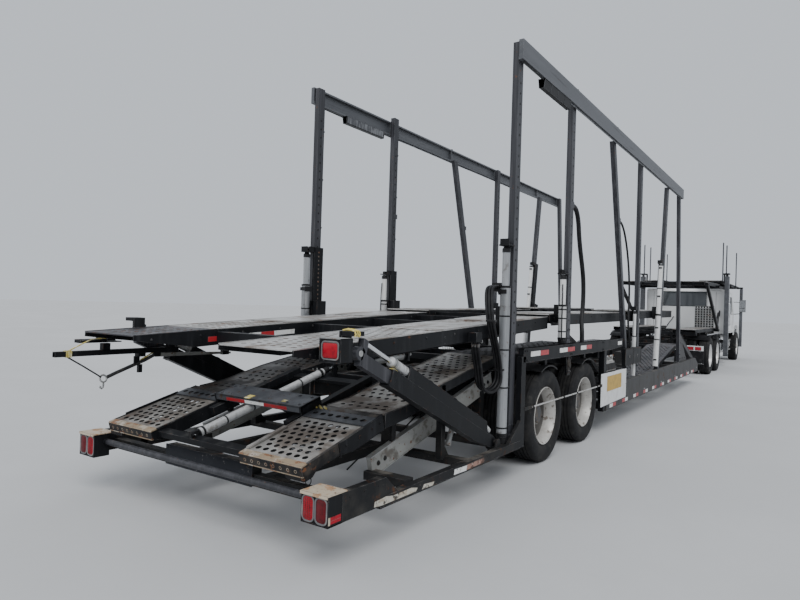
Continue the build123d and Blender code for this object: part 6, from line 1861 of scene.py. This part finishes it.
# sun visor over the windscreen and wipers
m.xz([(20470, 2316), (20500, 2330), (20700, 2200), (20690, 2188)], -1060, 1060, 2)
for s in (-1, 1):
    m.tube([(21010, s * 120, 1668), (20930, s * 210, 1790), (20800, s * 330, 1940)], 7, 8, 2)
    m.tube([(20900, s * 60, 1800), (20800, s * 330, 1942), (20690, s * 600, 2070)], 8, 8, 2)
m.build("cab_trim", "tractor", [cab_white, cab_white, black_plastic, glass_m, seam, bright, amber], "cab_white", bevel=2)
for s, sd in ((1, "left"), (-1, "right")):
    m = M()
    m.bx(19780, 19900, s * 1121 - 3, s * 1121 + 4, 1500, 1530, 0)
    m.tube([(19790, s * 1128, 1515), (19815, s * 1140, 1515), (19870, s * 1140, 1515), (19892, s * 1128, 1515)], 8, 10, 0)
    m.bx(19780, 20900, s * 1119.6 - 1.2, s * 1119.6 + 1.2, 1236, 1244, 1)
    m.bx(19800, 20840, s * 1119 - 2.5, s * 1119 + 2.5, 1566, 1580, 2)
    m.bx(20396, 20408, s * 1110 - 6, s * 1110 + 8, 1580, 2128, 2)
    m.build("door_trim_" + sd, "door_" + sd, [bright, seam, black_plastic], "trim_grey", bevel=2)

# ---- hood details: grille, headlamps, side vents, latches
m = M()
m.bx(22706, 22722, -420, 420, 770, 1200, 0)
for k in range(9):
    m.bx(22712, 22735, -404, 404, 792 + k * 44, 808 + k * 44, 1)
m.bx(22708, 22738, -436, -416, 760, 1210, 1)
m.bx(22708, 22738, 416, 436, 760, 1210, 1)
m.bx(22700, 22738, -436, 436, 1196, 1216, 1)
m.bx(22708, 22738, -436, 436, 752, 770, 1)
for s in (1, -1):
    m.bx(22600, 22640, s * 960 - 150, s * 960 + 150, 790, 1040, 0)
    m.lathe((22600, s * 1035, 915), (22700, s * 1035, 915), [(0, 60), (34, 68), (44, 70), (50, 64), (58, 40), (61, 8)], 28, 3, mats=[1, 1, 1, 3, 3, 3, 3])
    m.lathe((22600, s * 890, 915), (22700, s * 890, 915), [(0, 60), (34, 68), (44, 70), (50, 64), (58, 40), (61, 8)], 28, 3, mats=[1, 1, 1, 3, 3, 3, 3])
    m.bx(22598, 22645, s * 1120 - 18, s * 1120 + 18, 830, 1000, 2)
    for k in range(6):
        m.bx(21330 + k * 90, 21392 + k * 90, s * 860 - 3, s * 860 + 3, 1230, 1380, 4)
    m.bx(21150, 21230, s * 861 - 6, s * 861 + 6, 1040, 1080, 1)
# raised spine on the hood's top
m.xz([(21120, 1584), (21120, 1604), (22330, 1462), (22590, 1352), (22590, 1334), (22330, 1442)], -190, 190, 5)
m.build("hood_trim", "hood", [black_plastic, bright, amber, clear, seam, cab_white], "trim_grey", bevel=3)
m = M()
m.bx(22560, 22640, -300, 300, 330, 400, 0)
for s in (1, -1):
    m.cyl((22868, s * 620, 540), (22845, s * 620, 540), 46, 24, 2)
    m.ring((22869, s * 620, 540), (22850, s * 620, 540), 46, 54, 24, 1)
    m.bx(22840, 22869, s * 300 - 26, s * 300 + 26, 420, 470, 0)
m.bx(22862, 22869, -260, 260, 560, 670, 3)
m.build("bumper_fittings", "tractor", [black_plastic, bright, clear, white], "trim_grey", bevel=3)

# ---- rack over the cab
def trough_plate(m, A, B, y0, y1, lipd, mt=0, band=None, side=1):
    m.plate(A, B, y0 + 7, y1 - 7, 9, r=20, pu=96, pv=84, mu=50, mv=46, n=8, mat=mt, hmat=3)
    for ya, yb in ((y0, y0 + 8), (y1 - 8, y1)):
        m.xz([A, B, (B[0], B[1] - lipd), (A[0], A[1] - lipd)], ya, yb, side)
        m.bar((A[0], A[1] + 1), (B[0], B[1] + 1), 7, ya - 1, yb + 1, mt)
    n = max(2, int(hypot(B[0] - A[0], B[1] - A[1]) / 450))
    for k in range(1, n):
        x, z = A[0] + (B[0] - A[0]) * k / n, A[1] + (B[1] - A[1]) * k / n
        m.bx(x - 4, x + 4, y0 + 8, y1 - 8, z - 60, z - 9, side)


TM = [deck, black, galv, hole_wall, post]
m = M()
m.pl = M()
h0 = m.here()
trough_plate(m, (17880, 2570), (22760, 2570), 500, 1090, 90)
m.bx(18380, 18420, 1100, 1140, 2490, 2800, 1)
m.bx(18100, 18420, 1080, 1110, 2490, 2540, 1)
m.bx(18240, 18420, 1100, 1275, 2760, 2800, 1)
m.bx(18180, 18380, 1130, 1275, 2760, 2800, 1)
m.bx(21460, 21540, 1080, 1140, 2490, 2540, 1)
for x in (18700, 19700, 20700, 21700):
    m.bolt((x, 1090, 2530), (0, 1, 0), 9, 7, 1)
m.both(h0)
for x in (17960, 18800, 20200):
    m.bx(x, x + 80, -1130, 1130, 2480, 2540, 1)
m.bx(22290, 22370, -1268, 1268, 2480, 2540, 1)
m.build("rack_deck_steel", "rack_deck", TM, "deck_steel", replaces=["cab_rack_deck"], bevel=2.5, edge=edge_black)

# ---- decks behind the cab
m = M()
m.pl = M()
h0 = m.here()
trough_plate(m, (14150, 1150), (18120, 1150), 450, 1000, 90)
for x in (14250, 15700, 17300):
    m.bx(x, x + 80, 395, 440, 880, 1001, 1)
m.both(h0)
for x in (14250, 15700, 17300):
    m.bx(x, x + 80, -1000, 1000, 1000, 1080, 1)
m.build("tractor_lower_runways", "tractor", TM, "deck_steel", replaces=["tractor_lower_deck"], bevel=2.5, edge=edge_black)
m = M()
m.pl = M()
h0 = m.here()
trough_plate(m, (14900, 2400), (17800, 2440), 500, 1060, 90)
m.bar((15090, 2330), (17380, 1110), 90, 1063, 1128, 1)
m.bar((15090, 2376), (17380, 1156), 10, 1061, 1130, 2)
m.bx(17320, 17440, 1000, 1130, 1050, 1130, 1)
m.bx(17000, 18200, 1131, 1150, 2300, 2370, 1)
m.bx(17000, 17080, 1120, 1150, 2300, 2370, 1)
m.bolt((17380, 1130, 1100), (0, 1, 0), 16, 12, 1)
m.bolt((15090, 1130, 2335), (0, 1, 0), 16, 12, 1)
m.both(h0)
for x in (15060, 17000):
    m.bx(x, x + 80, -1130, 1130, 2300, 2370, 1)
m.build("tractor_upper_runways", "tractor", TM, "deck_steel", replaces=["tractor_upper_deck"], bevel=2.5, edge=edge_black)

# ---- lift posts of the rack: caps, pin holes; hose bow and strut behind the cab; bright bar over the drive hubs
m = M()
h0 = m.here()
# pin holes drawn as near-black discs: painted shade
for z in range(800, 2650, 110):
    m.cyl((18280, 1269, z), (18280, 1271.5, z), 13, 12, 0)
m.bx(18184, 18376, 1146, 1273, 300, 316, 1)
for z in (340, 420):
    for x in (18220, 18340):
        m.bolt((x, 1270, z), (0, 1, 0), 10, 8, 1)
m.both(h0)
m.tube([(18446, -1000, 1500), (18300, -1030, 1640), (18120, -1040, 1660), (17960, -1040, 1560), (17900, -1040, 1380), (17880, -1030, 1190)], 17, 12, 2)
m.tube([(18446, -960, 1450), (18280, -985, 1600), (18100, -1000, 1600), (17980, -1000, 1500), (17940, -1000, 1330), (17930, -990, 1190)], 13, 12, 2)
m.tube([(18446, 300, 1440), (18200, 320, 1330), (17900, 330, 1240), (17500, 340, 1100), (16900, 360, 960)], 15, 12, 2)
# perforated dark guard on the cab's back, right of the middle
# the guard's holes are near-black squares standing off a grey plate: painted shade
for k in range(7):
    for j in range(11):
        y, z = -350 - k * 78, 1020 + j * 74
        m.bx(18443, 18448, y - 22, y + 22, z - 26, z + 26, 0)
m.bx(18447, 18450, -860, -312, 980, 1800, 3)
m.build("rack_post_fittings", "tractor", [hole_painted_shade, post, rubber, galv], "post_paint", bevel=1.5)
m = M()
h0 = m.here()
m.tube([(14700, 1180, 1010), (15000, 1195, 1020), (15700, 1200, 1020), (16400, 1195, 1020), (16700, 1180, 1010)], 14, 12, 0)
for x in (14740, 15700, 16660):
    m.bx(x - 14, x + 14, 996, 1192, 1000, 1012, 1)
    m.bx(x - 14, x + 14, 996, 1008, 1000, 1070, 1)
# quarter fenders over the drive wheels
for xa in (15040.0, 16360.0):
    n = 22
    A = [(xa + 522 * cos(t), 480 + 522 * sin(t)) for t in [radians(50 + 80 * k / (n - 1)) for k in range(n)]]
    B = [(xa + 517 * cos(t), 480 + 517 * sin(t)) for t in [radians(50 + 80 * k / (n - 1)) for k in range(n)]]
    v, f = [], []
    for (ax, az), (cx, cz) in zip(A, B):
        v += [(ax, 640, az), (ax, 1250, az), (cx, 1250, cz), (cx, 640, cz)]
    for k in range(n - 1):
        for i in range(4):
            j = (i + 1) % 4
            f.append((4 * k + i, 4 * k + j, 4 * k + 4 + j, 4 * k + 4 + i))
    f += [(0, 1, 2, 3), (4 * n - 4, 4 * n - 3, 4 * n - 2, 4 * n - 1)]
    m.add(v, f, 1)
m.both(h0)
m.build("drive_fenders", "tractor", [bright, black_plastic], "frame_black", bevel=1.5)
